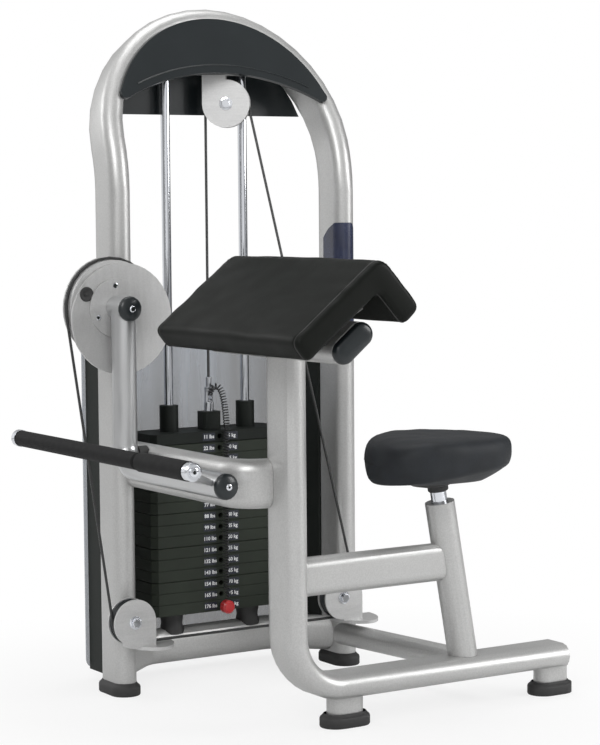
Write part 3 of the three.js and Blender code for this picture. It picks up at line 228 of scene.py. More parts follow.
def flecked(tree, source, colour, fleck):
    """The colour, darker and lighter in small flakes."""
    share = tree.nodes.new("ShaderNodeMapRange")
    share.inputs["From Min"].default_value = FLECK["low"]
    share.inputs["From Max"].default_value = FLECK["high"]
    share.inputs["To Min"].default_value = 1 - fleck
    share.inputs["To Max"].default_value = 1 + fleck
    link(tree, noise_node(tree, source, FLECK["scale"], FLECK["detail"]), share.inputs["Value"])
    scaled = tree.nodes.new("ShaderNodeVectorMath")
    scaled.operation = "SCALE"
    link(tree, colour, scaled.inputs[0])
    link(tree, share.outputs[0], scaled.inputs["Scale"])
    return scaled.outputs[0]


def grain_height(tree, source, grain, size):
    """The height behind the fine bump: pebbles, the lay of a cable's wires, or noise."""
    if grain == "pebble":
        fine = tree.nodes.new("ShaderNodeTexVoronoi")
        height = fine.outputs["Distance"]
    elif grain == "lay":
        fine = tree.nodes.new("ShaderNodeTexWave")
        fine.bands_direction = "DIAGONAL"
        height = fine.outputs["Fac"]
    else:
        return noise_node(tree, source, size, BUMP["detail"])
    fine.inputs["Scale"].default_value = size
    link(tree, source, fine.inputs["Vector"])
    return height


def finish(name, base, rough, metal=0.0, vary=0.05, patch=14, grain="noise", grain_size=500, depth=0.00005,
           stretch=(1, 1, 1), coat=0.0, specular=0.5, alpha=1.0, fleck=0.0):
    """A procedural surface: soft colour patches, uneven gloss and a fine bump of the named grain."""
    material = bpy.data.materials.new(name)
    material.use_nodes = True
    tree = material.node_tree
    shader = tree.nodes["Principled BSDF"]
    shader.inputs["Metallic"].default_value = metal
    shader.inputs["Coat Weight"].default_value = coat
    shader.inputs["Coat Roughness"].default_value = COAT_ROUGH
    shader.inputs["Specular IOR Level"].default_value = specular
    shader.inputs["Alpha"].default_value = alpha
    coord = tree.nodes.new("ShaderNodeTexCoord")
    mapping = tree.nodes.new("ShaderNodeMapping")
    mapping.inputs["Scale"].default_value = stretch
    link(tree, coord.outputs["Object"], mapping.inputs[0])

    cloud = noise_node(tree, mapping.outputs[0], patch, CLOUD["detail"])
    tint = tree.nodes.new("ShaderNodeValToRGB")
    darker, lighter = tint.color_ramp.elements[0], tint.color_ramp.elements[1]
    darker.position = CLOUD["low"]
    lighter.position = CLOUD["high"]
    darker.color = [c * (1 - vary) for c in base] + [1]
    lighter.color = [min(1, c * (1 + vary)) for c in base] + [1]
    link(tree, cloud, tint.inputs[0])
    colour = tint.outputs[0]
    if fleck:
        colour = flecked(tree, coord.outputs["Object"], colour, fleck)
    link(tree, colour, shader.inputs["Base Color"])

    gloss = tree.nodes.new("ShaderNodeMapRange")
    gloss.inputs["To Min"].default_value = rough * ROUGH_SHARES["low"]
    gloss.inputs["To Max"].default_value = min(1, rough * ROUGH_SHARES["high"])
    link(tree, cloud, gloss.inputs["Value"])
    link(tree, gloss.outputs[0], shader.inputs["Roughness"])

    bump = tree.nodes.new("ShaderNodeBump")
    bump.inputs["Strength"].default_value = BUMP["strength"]
    bump.inputs["Distance"].default_value = depth
    link(tree, grain_height(tree, mapping.outputs[0], grain, grain_size), bump.inputs["Height"])
    soft_edge = tree.nodes.new("ShaderNodeBevel")
    soft_edge.samples = EDGE["samples"]
    soft_edge.inputs["Radius"].default_value = EDGE["radius"]
    link(tree, soft_edge.outputs[0], bump.inputs["Normal"])
    link(tree, bump.outputs[0], shader.inputs["Normal"])
    return material


SILVER = (0.53, 0.53, 0.524)
looks = {
    "silver": finish("silver_paint", SILVER, 0.4, metal=0.6, vary=0.03, patch=9, grain_size=2200,
                     depth=0.00003, coat=0.06, fleck=0.05),
    "satin": finish("satin_paint", (0.56, 0.565, 0.57), 0.3, metal=0.85, vary=0.03, patch=9, grain_size=1800,
                    depth=0.000005, coat=0.05),
    "zinc": finish("zinc_steel", (0.60, 0.60, 0.598), 0.42, metal=0.6, vary=0.05, patch=22, grain_size=900,
                   depth=0.00002, stretch=(1, 1, 9), fleck=0.03),
    "cam": finish("turned_steel", (0.51, 0.51, 0.508), 0.44, metal=0.5, vary=0.05, patch=16, grain_size=1400,
                  depth=0.00002, stretch=(6, 1, 1), fleck=0.03),
    "chrome": finish("chrome_plate", (0.74, 0.76, 0.80), 0.09, metal=1.0, vary=0.03, patch=30, grain_size=300,
                     depth=0.000008),
    "powder": finish("black_powder_coat", (0.011, 0.014, 0.012), 0.5, vary=0.12, patch=20, grain_size=1500,
                     depth=0.00006, specular=0.18),
    "plates": finish("plate_paint", (0.027, 0.033, 0.025), 0.62, vary=0.14, patch=14, grain_size=1300,
                     depth=0.00006, specular=0.22),
    "gloss": finish("black_gloss", (0.0125, 0.0165, 0.0185), 0.3, vary=0.1, patch=6, grain_size=700,
                    depth=0.00001, coat=0.12, specular=0.4),
    "rubber": finish("moulded_rubber", (0.030, 0.030, 0.030), 0.6, vary=0.15, patch=40, grain_size=1100,
                     depth=0.00008),
    "foam": finish("foam_grip", (0.009, 0.009, 0.0095), 0.7, vary=0.18, patch=70, grain="pebble",
                   grain_size=900, depth=0.00012, specular=0.2),
    "vinyl": finish("grained_vinyl", (0.0032, 0.0042, 0.0030), 0.48, vary=0.16, patch=18, grain="pebble",
                    grain_size=620, depth=0.00014, specular=0.15),
    # The seat's vinyl is the pad's vinyl drawn lighter and bluer: painted sheen of the seat's lit top
    "seat_vinyl": finish("grained_seat_vinyl", (0.0125, 0.0150, 0.0185), 0.58, vary=0.24, patch=30,
                         grain="pebble", grain_size=560, depth=0.00018, specular=0.34),
    "cable": finish("coated_cable", (0.030, 0.031, 0.031), 0.3, vary=0.2, patch=60, grain="lay",
                    grain_size=210, depth=0.0005),
    "cord": finish("cord_plastic", (0.017, 0.017, 0.018), 0.35, vary=0.1, patch=60, grain_size=900,
                   depth=0.00002),
    "red": finish("red_plastic", (0.50, 0.018, 0.022), 0.3, vary=0.08, patch=60, grain_size=600,
                  depth=0.00001, coat=0.4),
    # The smoked sheet's blue-grey is partly its smoky tint and partly painted reflection, and its tall
    # streaks of lighter and darker grey are painted reflections
    "smoked": finish("smoked_sheet", (0.235, 0.265, 0.31), 0.12, vary=0.62, patch=4, grain_size=60,
                     depth=0.00001, stretch=(4, 4, 0.25), alpha=0.55),
    "ink": finish("white_print", (0.78, 0.79, 0.80), 0.5, vary=0.02, patch=80, grain_size=900,
                  depth=0.00001),
    "label": finish("label_film", (0.014, 0.018, 0.030), 0.3, vary=0.1, patch=60, grain_size=700,
                    depth=0.00001),
    "placard": finish("placard_film", (0.020, 0.026, 0.060), 0.26, vary=0.25, patch=24, grain_size=500,
                      depth=0.00001, coat=0.3),
}

NODE_LOOKS = {
    "silver": ["tower_arch", "cross_member", "rod_top_beam", "main_column", "mid_beam", "seat_tube",
               "diagonal_brace", "link_tube", "pad_support"],
    "satin": ["movement_arm"],
    "zinc": ["wheel_bracket_left", "wheel_bracket_right", "wheel_bracket_top"],
    "cam": ["cam_wheel", "cam_face", "pivot_flange"],
    "chrome": ["guide_rod_left", "guide_rod_right", "selector_pin", "cable_end", "pivot_shaft", "handle_bar",
               "seat_post"],
    "powder": ["shroud_strip_left", "shroud_strip_right", "head_plate", "selector_stem"],
    "plates": ["weight_plates_1", "weight_plates_2", "weight_plates_3", "weight_plates_4", "weight_plates_5"],
    "gloss": ["header_front", "header_rear", "hub_cap", "arm_end_cap", "pad_support_cap_near",
              "pad_support_cap_far", "wheel_left", "wheel_right", "wheel_top"],
    "rubber": ["buffer_left", "buffer_right", "tower_foot_left", "tower_foot_right", "column_foot",
               "seat_foot", "arm_stop", "seat_pin"],
    "foam": ["handle_grip", "handle_socket"],
    "cable": ["cable_main"],
    "red": ["selector_knob"],
    "smoked": ["rear_shroud"],
}


SMOOTH_DEGREES = 34
SHARP_DEGREES = 50
WELD_GAP = 0.00001
# The arch has two rings of points this close where its bend ends
ARCH_WELD_GAP = 0.0013


def dress_nodes():
    """Each solid keeps its mesh; its facets are welded and shaded smooth up to the sharp-edge angle."""
    for look, names in NODE_LOOKS.items():
        for name in names:
            data = nodes[name].data
            data.materials.clear()
            data.materials.append(looks[look])
            flat_normals = data.attributes.get("custom_normal")
            if flat_normals:
                data.attributes.remove(flat_normals)
            data.shade_smooth()
            weld = nodes[name].modifiers.new("weld", "WELD")
            weld.merge_threshold = ARCH_WELD_GAP if name == "tower_arch" else WELD_GAP
            edges = nodes[name].modifiers.new("edges", "EDGE_SPLIT")
            edges.split_angle = math.radians(SMOOTH_DEGREES)
            edges.use_edge_sharp = False
            nodes[name].modifiers.new("normals", "WEIGHTED_NORMAL")


def piece(name, verts, faces, look, slot_name, body=None, smooth=True):
    """A mesh piece from points in the drawing's millimetres."""
    mesh = bpy.data.meshes.new(name)
    mesh.from_pydata([mm(*v) for v in verts], [], faces)
    built = bmesh.new()
    built.from_mesh(mesh)
    bmesh.ops.recalc_face_normals(built, faces=built.faces)
    built.to_mesh(mesh)
    built.free()
    mesh.materials.append(looks[look])
    if smooth:
        mesh.shade_smooth()
        mesh.set_sharp_from_angle(angle=math.radians(SHARP_DEGREES))
    made = bpy.data.objects.new(name, mesh)
    bpy.context.scene.collection.objects.link(made)
    if body:
        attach(made, body)
    return made


FRONT = (0, -1, 0)
HEX_SIDES = 6
# Above this share of Y, a tube's first side is taken from X instead
MOSTLY_Y = 0.9


def turns(count):
    """The angles of one full turn in even steps."""
    return [2 * math.pi * k / count for k in range(count)]


def round_ring(centre, side, other, radius, count):
    """Points round a centre, in the plane of two directions."""
    return [centre + side * radius * math.cos(a) + other * radius * math.sin(a) for a in turns(count)]


def skin(rings, closed=False):
    """Faces that join rings of equal length; open ends are closed by one face each."""
    count = len(rings[0])
    verts = [point for ring in rings for point in ring]
    faces = []
    last = len(rings)
    for i in range(last if closed else last - 1):
        for j in range(count):
            a, b = i * count + j, i * count + (j + 1) % count
            c, d = ((i + 1) % last) * count + (j + 1) % count, ((i + 1) % last) * count + j
            faces.append((a, b, c, d))
    if not closed:
        faces.append(tuple(range(count)))
        faces.append(tuple((last - 1) * count + j for j in range(count)))
    return verts, faces


def tube(points, radius, sides):
    """A round tube along points, carried without twist."""
    points = [Vector(p) for p in points]
    rings = []
    side = None
    for i, at in enumerate(points):
        along = (points[min(i + 1, len(points) - 1)] - points[max(i - 1, 0)]).normalized()
        if side is None:
            side = Vector((0, 1, 0)) if abs(along.y) < MOSTLY_Y else Vector((1, 0, 0))
        side = (side - along * side.dot(along)).normalized()
        rings.append(round_ring(at, side, along.cross(side), radius, sides))
    return skin(rings)


def turned(profile, centre, axis, steps=28):
    """A piece turned about an axis; the profile holds (along the axis, radius) pairs."""
    axis = Vector(axis).normalized()
    side = axis.orthogonal().normalized()
    other = axis.cross(side)
    return skin([round_ring(Vector(centre) + axis * along, side, other, radius, steps)
                 for along, radius in profile])


# Arm pad: the same cross-section as its solid, in the XZ plane
PAD = {"low": (-337, 800), "crest": (-142, 956), "drop": (-52, 856), "thick": 51, "near": -808, "far": -268}
PAD_ROUNDS = (20, 34, 22, 16, 14, 16)
PAD_ROUND_STEPS = 12
PAD_STEP = 6
PAD_MERGE_SHARE = 0.45


def pad_outline():
    """The even outline of the pad, its crest, and the directions of its two slopes."""
    low, crest, drop = (Vector(PAD[k]) for k in ("low", "crest", "drop"))
    slope = (crest - low).normalized()
    fall = (drop - crest).normalized()
    under = Vector((slope.y, -slope.x)) * PAD["thick"]
    inward = Vector((fall.y, -fall.x)) * PAD["thick"]
    low_in, drop_in = low + under, drop + inward
    t = drop_in - low_in
    cross = slope.x * fall.y - slope.y * fall.x
    crotch = low_in + slope * ((t.x * fall.y - t.y * fall.x) / cross)
    corners = [low, crest, drop, drop_in, crotch, low_in]
    dense = []
    for i, corner in enumerate(corners):
        before, after = corners[i - 1], corners[(i + 1) % len(corners)]
        into, out = (before - corner).normalized(), (after - corner).normalized()
        half = math.acos(max(-1, min(1, into.dot(out)))) / 2
        back = min(PAD_ROUNDS[i] / math.tan(half), (before - corner).length / 2, (after - corner).length / 2)
        start, end = corner + into * back, corner + out * back
        for k in range(PAD_ROUND_STEPS + 1):
            s = k / PAD_ROUND_STEPS
            dense.append(start * (1 - s) ** 2 + corner * 2 * s * (1 - s) + end * s * s)
    fine = []
    for i, a in enumerate(dense):
        b = dense[(i + 1) % len(dense)]
        steps = max(1, round((b - a).length / PAD_STEP))
        fine += [a.lerp(b, k / steps) for k in range(steps)]
    even = []
    for point in fine:
        if not even or (point - even[-1]).length > PAD_STEP * PAD_MERGE_SHARE:
            even.append(point)
    return even, crest, slope, fall


# How far each ring of the pad lies from its end, and how far its outline is drawn in there
PAD_END = [(0, 11.5), (0.5, 8), (2, 4.6), (4.5, 2.2), (8, 0.8), (12, 0.5), (13.6, 2.6), (15.2, 0.4), (20, 0),
           (28, 0)]
PAD_SPANS = 54
# The cover's crown and wrinkles, the puckers where crest and seam meet, and the width held still at both ends
PAD_FORM = {"crown": 3.2, "crown_reach": 55, "wrinkle": 1.1, "least": 0.5, "scale": 0.035,
            "scale_along": 0.012, "beat_along": 0.42, "beat_across": 0.9, "crest_reach": 46,
            "seam_reach": 22, "held": 3}
PIPING = {"radius": 1.9, "inset": 13.6, "sunk": 1.2, "sides": 6}


def pad_normals(outline):
    """The outward direction at each point of the pad's outline."""
    normals = []
    for i in range(len(outline)):
        d = (outline[(i + 1) % len(outline)] - outline[i - 1]).normalized()
        normals.append(Vector((-d.y, d.x)))
    area = sum(a.x * b.y - b.x * a.y for a, b in zip(outline, outline[1:] + outline[:1]))
    return [-n for n in normals] if area > 0 else normals


def make_piping(outline, normals):
    """Piping along both long seams, just proud of the cover."""
    seams = {"pad_piping_near": PAD["near"] + PIPING["inset"], "pad_piping_far": PAD["far"] - PIPING["inset"]}
    radius = PIPING["radius"]
    for name, y in seams.items():
        rings = []
        for p, n in zip(outline, normals):
            x, z = p.x - n.x * PIPING["sunk"], p.y - n.y * PIPING["sunk"]
            rings.append([(x + n.x * radius * math.cos(a), y + radius * math.sin(a),
                           z + n.y * radius * math.cos(a)) for a in turns(PIPING["sides"])])
        # The piping is of the cover's vinyl: its lighter rubber look is a painted highlight along the seams
        piece(name, *skin(rings, closed=True), "rubber", "vinyl", "frame")


def make_arm_pad():
    outline, crest, slope, fall = pad_outline()
    normals = pad_normals(outline)
    length = PAD["far"] - PAD["near"]
    end = PAD_END[-1][0]
    middle = [end + (length - 2 * end) * k / PAD_SPANS for k in range(1, PAD_SPANS)]
    stations = PAD_END + [(y, 0) for y in middle] + [(length - y, inset) for y, inset in reversed(PAD_END)]
    up_slope, down_fall = Vector((-slope.y, slope.x)), Vector((-fall.y, fall.x))
    form = PAD_FORM
    rings = []
    for y, inset in stations:
        edge = min(y, length - y)
        ring = []
        for point, normal in zip(outline, normals):
            outer = max(0, normal.dot(up_slope), normal.dot(down_fall))
            swell = form["crown"] * outer ** 2 * (1 - math.exp(-edge / form["crown_reach"]))
            near_crest = math.exp(-((point - crest).length / form["crest_reach"]) ** 2)
            near_seam = math.exp(-edge / form["seam_reach"])
            place = Vector((point.x * form["scale"], y * form["scale_along"], point.y * form["scale"]))
            crease = noise.noise(place) * form["wrinkle"] * (form["least"] + outer)
            wave = math.sin(y * form["beat_along"] + point.x * form["beat_across"])
            pucker = wave * near_crest * near_seam
            shift = (swell + crease + pucker) * min(1, edge / form["held"]) - inset
            ring.append((point.x + normal.x * shift, PAD["near"] + y, point.y + normal.y * shift))
        rings.append(ring)
    pad = piece("arm_pad_cover", *skin(rings), "vinyl", "vinyl")
    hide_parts("arm_pad")
    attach(pad, "frame")
    make_piping(outline, normals)


# Seat cushion: its lobed outline, its height, and how its underside rises towards the thin lobe
SEAT = {"x": 174.2, "y": -520, "z": 479, "radius": 151, "lobe": 15, "lobes": 3, "phase": 90, "steps": 132}
SEAT_TALL = 96
SEAT_RISE = 15.5
SEAT_THIN = -30
# The boss under the cushion, the fall of its top towards the thick side, and the folds of its cover
SEAT_BOSS = {"z": 483, "from": 12, "to": 53, "share": 0.01}
SEAT_SLOPE = {"fall": 15, "reach": 62, "share": 0.58}
SEAT_FOLD = {"tall": 2.2, "scale": 0.022, "scale_up": 2.6, "side_gain": 6, "top_gain": 4, "top_lag": 3}
# How far the outline is drawn in at each share of the cushion's height, from the middle of the underside up
SEAT_PROFILE = [
    (108, 0), (76, 0), (53, 0), (44, 0), (35, 0), (26, 0), (19, 0.002), (13, 0.009), (10.5, 0.02),
    (8.5, 0.04), (5, 0.09), (2.8, 0.16), (1.4, 0.25), (0.6, 0.35), (0, 0.46), (0, 0.58), (0.6, 0.68),
    (2, 0.77), (4.6, 0.85), (8.6, 0.91), (14, 0.952), (22, 0.978), (34, 0.992), (52, 1), (74, 1),
    (100, 0.996), (122, 0.992), (138, 0.99),
]
SEAT_COLLAR = [(-26, 16.5), (-26, 20), (-24, 21.5), (-15, 21.5), (-13, 30), (-4, 56), (3, 62), (3, 18.2)]
SEAT_POST = {"top": (183.4, -525, 484.8), "axis": (-0.175163, 0, 0.984539)}


def make_seat():
    """A three-lobed cushion, thinner towards the lobe at SEAT_THIN degrees."""
    thin = Vector((math.cos(math.radians(SEAT_THIN)), math.sin(math.radians(SEAT_THIN))))
    rings = []
    for inset, share in SEAT_PROFILE:
        ring = []
        for angle in turns(SEAT["steps"]):
            wave = math.cos(SEAT["lobes"] * (angle - math.radians(SEAT["phase"])))
            radius = SEAT["radius"] + SEAT["lobe"] * wave * (1 - inset / SEAT["radius"]) - inset
            out = Vector((math.cos(angle), math.sin(angle)))
            scale = SEAT_FOLD["scale"]
            place = Vector((out.x * radius * scale, out.y * radius * scale, share * SEAT_FOLD["scale_up"]))
            fold = SEAT_FOLD["tall"] * noise.noise(place)
            at = out * (radius + fold * min(1, share * SEAT_FOLD["side_gain"]))
            low = SEAT_RISE * (1 + at.dot(thin) / SEAT["radius"])
            high = SEAT_TALL + fold * max(0, share * SEAT_FOLD["top_gain"] - SEAT_FOLD["top_lag"])
            z = SEAT["z"] + low + (high - low) * share
            if share < SEAT_BOSS["share"]:
                deep = (inset - SEAT_BOSS["from"]) / (SEAT_BOSS["to"] - SEAT_BOSS["from"])
                z += (SEAT_BOSS["z"] - z) * max(0, min(1, deep))
            if share >= SEAT_SLOPE["share"]:
                thick_side = max(0, -at.dot(thin) / SEAT["radius"])
                z -= SEAT_SLOPE["fall"] * thick_side * (1 - min(1, inset / SEAT_SLOPE["reach"])) ** 2
            ring.append((SEAT["x"] + at.x, SEAT["y"] + at.y, z))
        rings.append(ring)
    # Its lighter, bluer seat vinyl is painted sheen of its lit top
    cover = piece("seat_cover", *skin(rings), "seat_vinyl", "vinyl")
    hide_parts("seat_pad")
    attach(cover, "seat")
    collar = turned(SEAT_COLLAR, SEAT_POST["top"], SEAT_POST["axis"])
    piece("seat_post_collar", *collar, "rubber", "rubber", "seat")


# Curly lanyard: the route of its solid, whose last point is 1.1 mm lower
LANYARD = [
    (0, 80.6, 624), (3, 79.8, 640), (11, 75, 645), (17, 68, 636), (19, 60, 618), (18, 52, 596), (16, 44, 575),
    (13, 37, 555), (10, 34, 530), (8, 33, 490), (7, 33, 440), (6, 33, 390), (6, 33, 340), (5, 33, 290),
    (5, 33, 240), (4, 30, 205), (2, 22, 188), (1, 20, 171.4),
]
ROUTE_STEPS = 24
# Its coil, which narrows to the end share over the last steps at both ends
COIL = {"radius": 6.4, "wire": 1.25, "pitch": 6.2, "steps": 14, "sides": 6, "ease_steps": 40,
        "end_share": 0.25}


def smooth_route(points, step):
    """The route as a smooth curve through its points, cut into even steps."""
    points = [Vector(p) for p in points]
    dense = []
    for i in range(len(points) - 1):
        a = points[max(i - 1, 0)]
        b, c = points[i], points[i + 1]
        d = points[min(i + 2, len(points) - 1)]
        for k in range(ROUTE_STEPS):
            t = k / ROUTE_STEPS
            dense.append(0.5 * ((2 * b) + (c - a) * t + (2 * a - 5 * b + 4 * c - d) * t * t
                                + (3 * b - a - 3 * c + d) * t ** 3))
    dense.append(points[-1])
    even, carried = [dense[0]], 0
    for a, b in zip(dense, dense[1:]):
        gap = (b - a).length
        while carried + gap >= step:
            a = a.lerp(b, (step - carried) / gap)
            even.append(a.copy())
            gap = (b - a).length
            carried = 0
        carried += gap
    return even


def make_lanyard():
    route = smooth_route(LANYARD, COIL["pitch"] / COIL["steps"])
    last = len(route) - 1
    wire = []
    side = Vector((0, 1, 0))
    for i, at in enumerate(route):
        along = (route[min(i + 1, last)] - route[max(i - 1, 0)]).normalized()
        side = (side - along * side.dot(along)).normalized()
        other = along.cross(side)
        ease = min(1, i / COIL["ease_steps"], (last - i) / COIL["ease_steps"])
        radius = COIL["radius"] * (COIL["end_share"] + (1 - COIL["end_share"]) * ease)
        turn = 2 * math.pi * i / COIL["steps"]
        wire.append(at + (side * math.cos(turn) + other * math.sin(turn)) * radius)
    cord = piece("lanyard_coil", *tube(wire, COIL["wire"], COIL["sides"]), "cord", "rubber")
    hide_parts("lanyard")
    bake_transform(cord)


# The stack's cable: a straight run up from the stack, which on the machine shortens as the stack rises
RUN = {"x": 0, "y": 93, "low": 665.0, "high": 1269.7, "radius": 3.0, "kept_share": 0.6114, "spans": 60,
       "sides": 12}


def make_stack_cable():
    low, tall, spans = RUN["low"], RUN["high"] - RUN["low"], RUN["spans"]
    points = [(RUN["x"], RUN["y"], low + tall * k / spans) for k in range(spans + 1)]
    run = piece("stack_cable", *tube(points, RUN["radius"], RUN["sides"]), "cable", "rubber")
    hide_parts("cable_stack_run")
    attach(run, "frame")
    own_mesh(run)


# Plate labels: a film strip each side of the pin holes, with plain weights on it
PLATES = {"bottom": 142, "pitch": 25.4, "count": 16, "front": 46, "kg_step": 5, "lbs_per_kg": 2.2046}
LABEL = {"wide": 31, "tall": 17, "thick": 0.5, "sunk": 0.02, "ink": 0.15, "text": 11.5, "bold": 0.28,
         "lbs_x": -28, "kg_x": 31}
# The front and the four edges of a film strip, by its corners
LABEL_FACES = ((4, 5, 6, 7), (0, 1, 5, 4), (1, 2, 6, 5), (2, 3, 7, 6), (3, 0, 4, 7))


def text_mesh(words, size):
    """Points and faces of flat lettering whose middle is at the origin."""
    data = bpy.data.curves.new("text", "FONT")
    data.body = words
    data.size = size
    data.offset = LABEL["bold"]
    data.align_x = "CENTER"
    data.align_y = "CENTER"
    data.resolution_u = 2
    maker = bpy.data.objects.new("text", data)
    bpy.context.scene.collection.objects.link(maker)
    bpy.context.view_layer.update()
    flat = maker.evaluated_get(bpy.context.evaluated_depsgraph_get()).to_mesh()
    verts = [v.co.copy() for v in flat.vertices]
    faces = [tuple(p.vertices) for p in flat.polygons]
    maker.to_mesh_clear()
    bpy.data.objects.remove(maker)
    bpy.data.curves.remove(data)
    return verts, faces


def make_labels():
    strips, strip_faces, inks, ink_faces = [], [], [], []
    front = PLATES["front"] - LABEL["thick"]
    w, h = LABEL["wide"] / 2, LABEL["tall"] / 2
    for i in range(PLATES["count"]):
        kg = PLATES["kg_step"] * (PLATES["count"] - i)
        lbs = round(kg * PLATES["lbs_per_kg"])
        z = PLATES["bottom"] + (i + 0.5) * PLATES["pitch"]
        for x, words in ((LABEL["lbs_x"], f"{lbs} lbs"), (LABEL["kg_x"], f"{kg} kg")):
            base = len(strips)
            for y in (PLATES["front"] - LABEL["sunk"], front):
                strips += [(x - w, y, z - h), (x + w, y, z - h), (x + w, y, z + h), (x - w, y, z + h)]
            strip_faces += [tuple(base + k for k in corners) for corners in LABEL_FACES]
            flat, polygons = text_mesh(words, LABEL["text"])
            base = len(inks)
            inks += [(x + v.x, front - LABEL["ink"], z + v.y) for v in flat]
            ink_faces += [tuple(base + k for k in polygon) for polygon in polygons]
    piece("plate_labels", strips, strip_faces, "label", "black_plastic", "stack", smooth=False)
    piece("plate_numbers", inks, ink_faces, "ink", "black_paint", "stack", smooth=False)


# Screws: name, place, head radius, head height
SCREWS = [
    ("hub_cap_screw", (-330, -169.6, 838), 7, 3.2),
    ("arm_cap_screw", (-330, -554.0, 508), 6.5, 3.0),
    ("handle_end_screw", (-600, -894.9, 590), 8.5, 3.0),
]
FLANGE = {"x": -330, "z": 838, "front": -101.3, "circle": 47, "angles": (94, 204, 324), "radius": 7,
          "tall": 2.4}
# A screw's parts as shares of its head's radius or height, apart from the millimetres it is sunk
SCREW = {"sunk": 1.5, "neck": 0.8, "shoulder": 0.7, "top": 0.86, "mouth": 0.46, "pit": 0.44, "pit_low": 0.3,
         "pit_high": 1.02, "steps": 24}


def screw(name, at, radius, tall):
    """A round head with a hexagon socket, which faces front and rides on the arm."""
    head = turned([(-SCREW["sunk"], radius * SCREW["neck"]), (0, radius), (tall * SCREW["shoulder"], radius),
                   (tall, radius * SCREW["top"]), (tall, radius * SCREW["mouth"])], at, FRONT, SCREW["steps"])
    piece(name, *head, "chrome", "chrome", "arm")
    pit = turned([(tall * SCREW["pit_low"], radius * SCREW["pit"]),
                  (tall * SCREW["pit_high"], radius * SCREW["pit"])], at, FRONT, HEX_SIDES)
    piece(name + "_socket", *pit, "powder", "black_paint", "arm", smooth=False)


def make_screws():
    for name, at, radius, tall in SCREWS:
        screw(name, at, radius, tall)
    for i, degrees in enumerate(FLANGE["angles"]):
        a = math.radians(degrees)
        at = (FLANGE["x"] + FLANGE["circle"] * math.cos(a), FLANGE["front"] + FLANGE["tall"],
              FLANGE["z"] + FLANGE["circle"] * math.sin(a))
        screw(f"flange_screw_{i + 1}", at, FLANGE["radius"], FLANGE["tall"])


# Bolts on the front cheeks of the low wheels, where the replaced solids have plain heads
BOLTS = (("wheel_bolt_left", (-302, -111, 171)), ("wheel_bolt_right", (226, -111, 171)))
BOLT = {"washer": 14.5, "washer_tall": 1.6, "lift": 0.05, "shoulder": 0.8, "edge": 0.8, "bore": 7,
        "head": 10.8, "tall": 8.6, "chamfer": 1.6, "steps": 32}


def bolt(name, at, axis):
    """A hexagon head on a washer, on the frame."""
    flat, radius = BOLT["washer_tall"], BOLT["washer"]
    washer = turned([(BOLT["lift"], radius), (flat * BOLT["shoulder"], radius), (flat, radius - BOLT["edge"]),
                     (flat, BOLT["bore"])], at, axis, BOLT["steps"])
    piece(name + "_washer", *washer, "chrome", "chrome", "frame")
    head = turned([(flat, BOLT["head"]), (BOLT["tall"] - BOLT["chamfer"], BOLT["head"]),
                   (BOLT["tall"], BOLT["head"] - BOLT["chamfer"])], at, axis, HEX_SIDES)
    piece(name, *head, "chrome", "chrome", "frame", smooth=False)


def joined(shapes):
    """Several skins as one list of points and one of faces."""
    verts, faces = [], []
    for points, loops in shapes:
        base = len(verts)
        verts.extend(points)
        faces.extend(tuple(base + k for k in loop) for loop in loops)
    return verts, faces


# Wheel brackets: two round cheeks with an axle between, whose straight side runs to a shelf or a cap plate
CHEEK = {"inner": 12, "thick": 4, "axle": 6, "axle_until": 352, "steps": 48}
LOW = {"y": -95, "z": 171, "radius": 49.5, "foot": 117.7, "thick": 7, "back": -50, "reach": 86, "half": 54}
LOW_BRACKETS = {"wheel_bracket_left": -302, "wheel_bracket_right": 226}
TOP = {"x": 47, "y": 93, "z": 1274, "radius": 53, "cap": 1337.7, "reach_y": 188, "reach_x": 271}


def upright(outline, near, far):
    """A plate in the XZ plane, from one Y to another."""
    return skin([[(x, y, z) for x, z in outline] for y in (near, far)])


def arc(x, z, radius, first, last):
    """Points on an arc in the XZ plane, between two angles in degrees."""
    angles = (math.radians(first + (last - first) * k / CHEEK["steps"]) for k in range(CHEEK["steps"] + 1))
    return [(x + radius * math.cos(a), z + radius * math.sin(a)) for a in angles]


def cheek_shapes(outline, x, y, z):
    """Both cheeks of a wheel bracket and the axle between them."""
    inner, outer = CHEEK["inner"], CHEEK["inner"] + CHEEK["thick"]
    return [upright(outline, y - outer, y - inner), upright(outline, y + inner, y + outer),
            upright(arc(x, z, CHEEK["axle"], 0, CHEEK["axle_until"])[:-1], y - inner, y + inner)]


def make_low_brackets():
    radius, foot, half = LOW["radius"], LOW["foot"], LOW["half"]
    for name, x in LOW_BRACKETS.items():
        outline = arc(x, LOW["z"], radius, 0, 270) + [(x, foot), (x + radius, foot)]
        rim = [(x + half + px * half, LOW["back"] + py * LOW["reach"]) for px, py in arc(0, 0, 1, 180, 360)]
        shelf = skin([[(px, py, z) for px, py in rim] for z in (foot - LOW["thick"], foot)])
        shapes = cheek_shapes(outline, x, LOW["y"], LOW["z"]) + [shelf]
        bracket = piece(name + "_plates", *joined(shapes), "zinc", "bare_steel")
        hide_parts(name)
        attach(bracket, "frame")


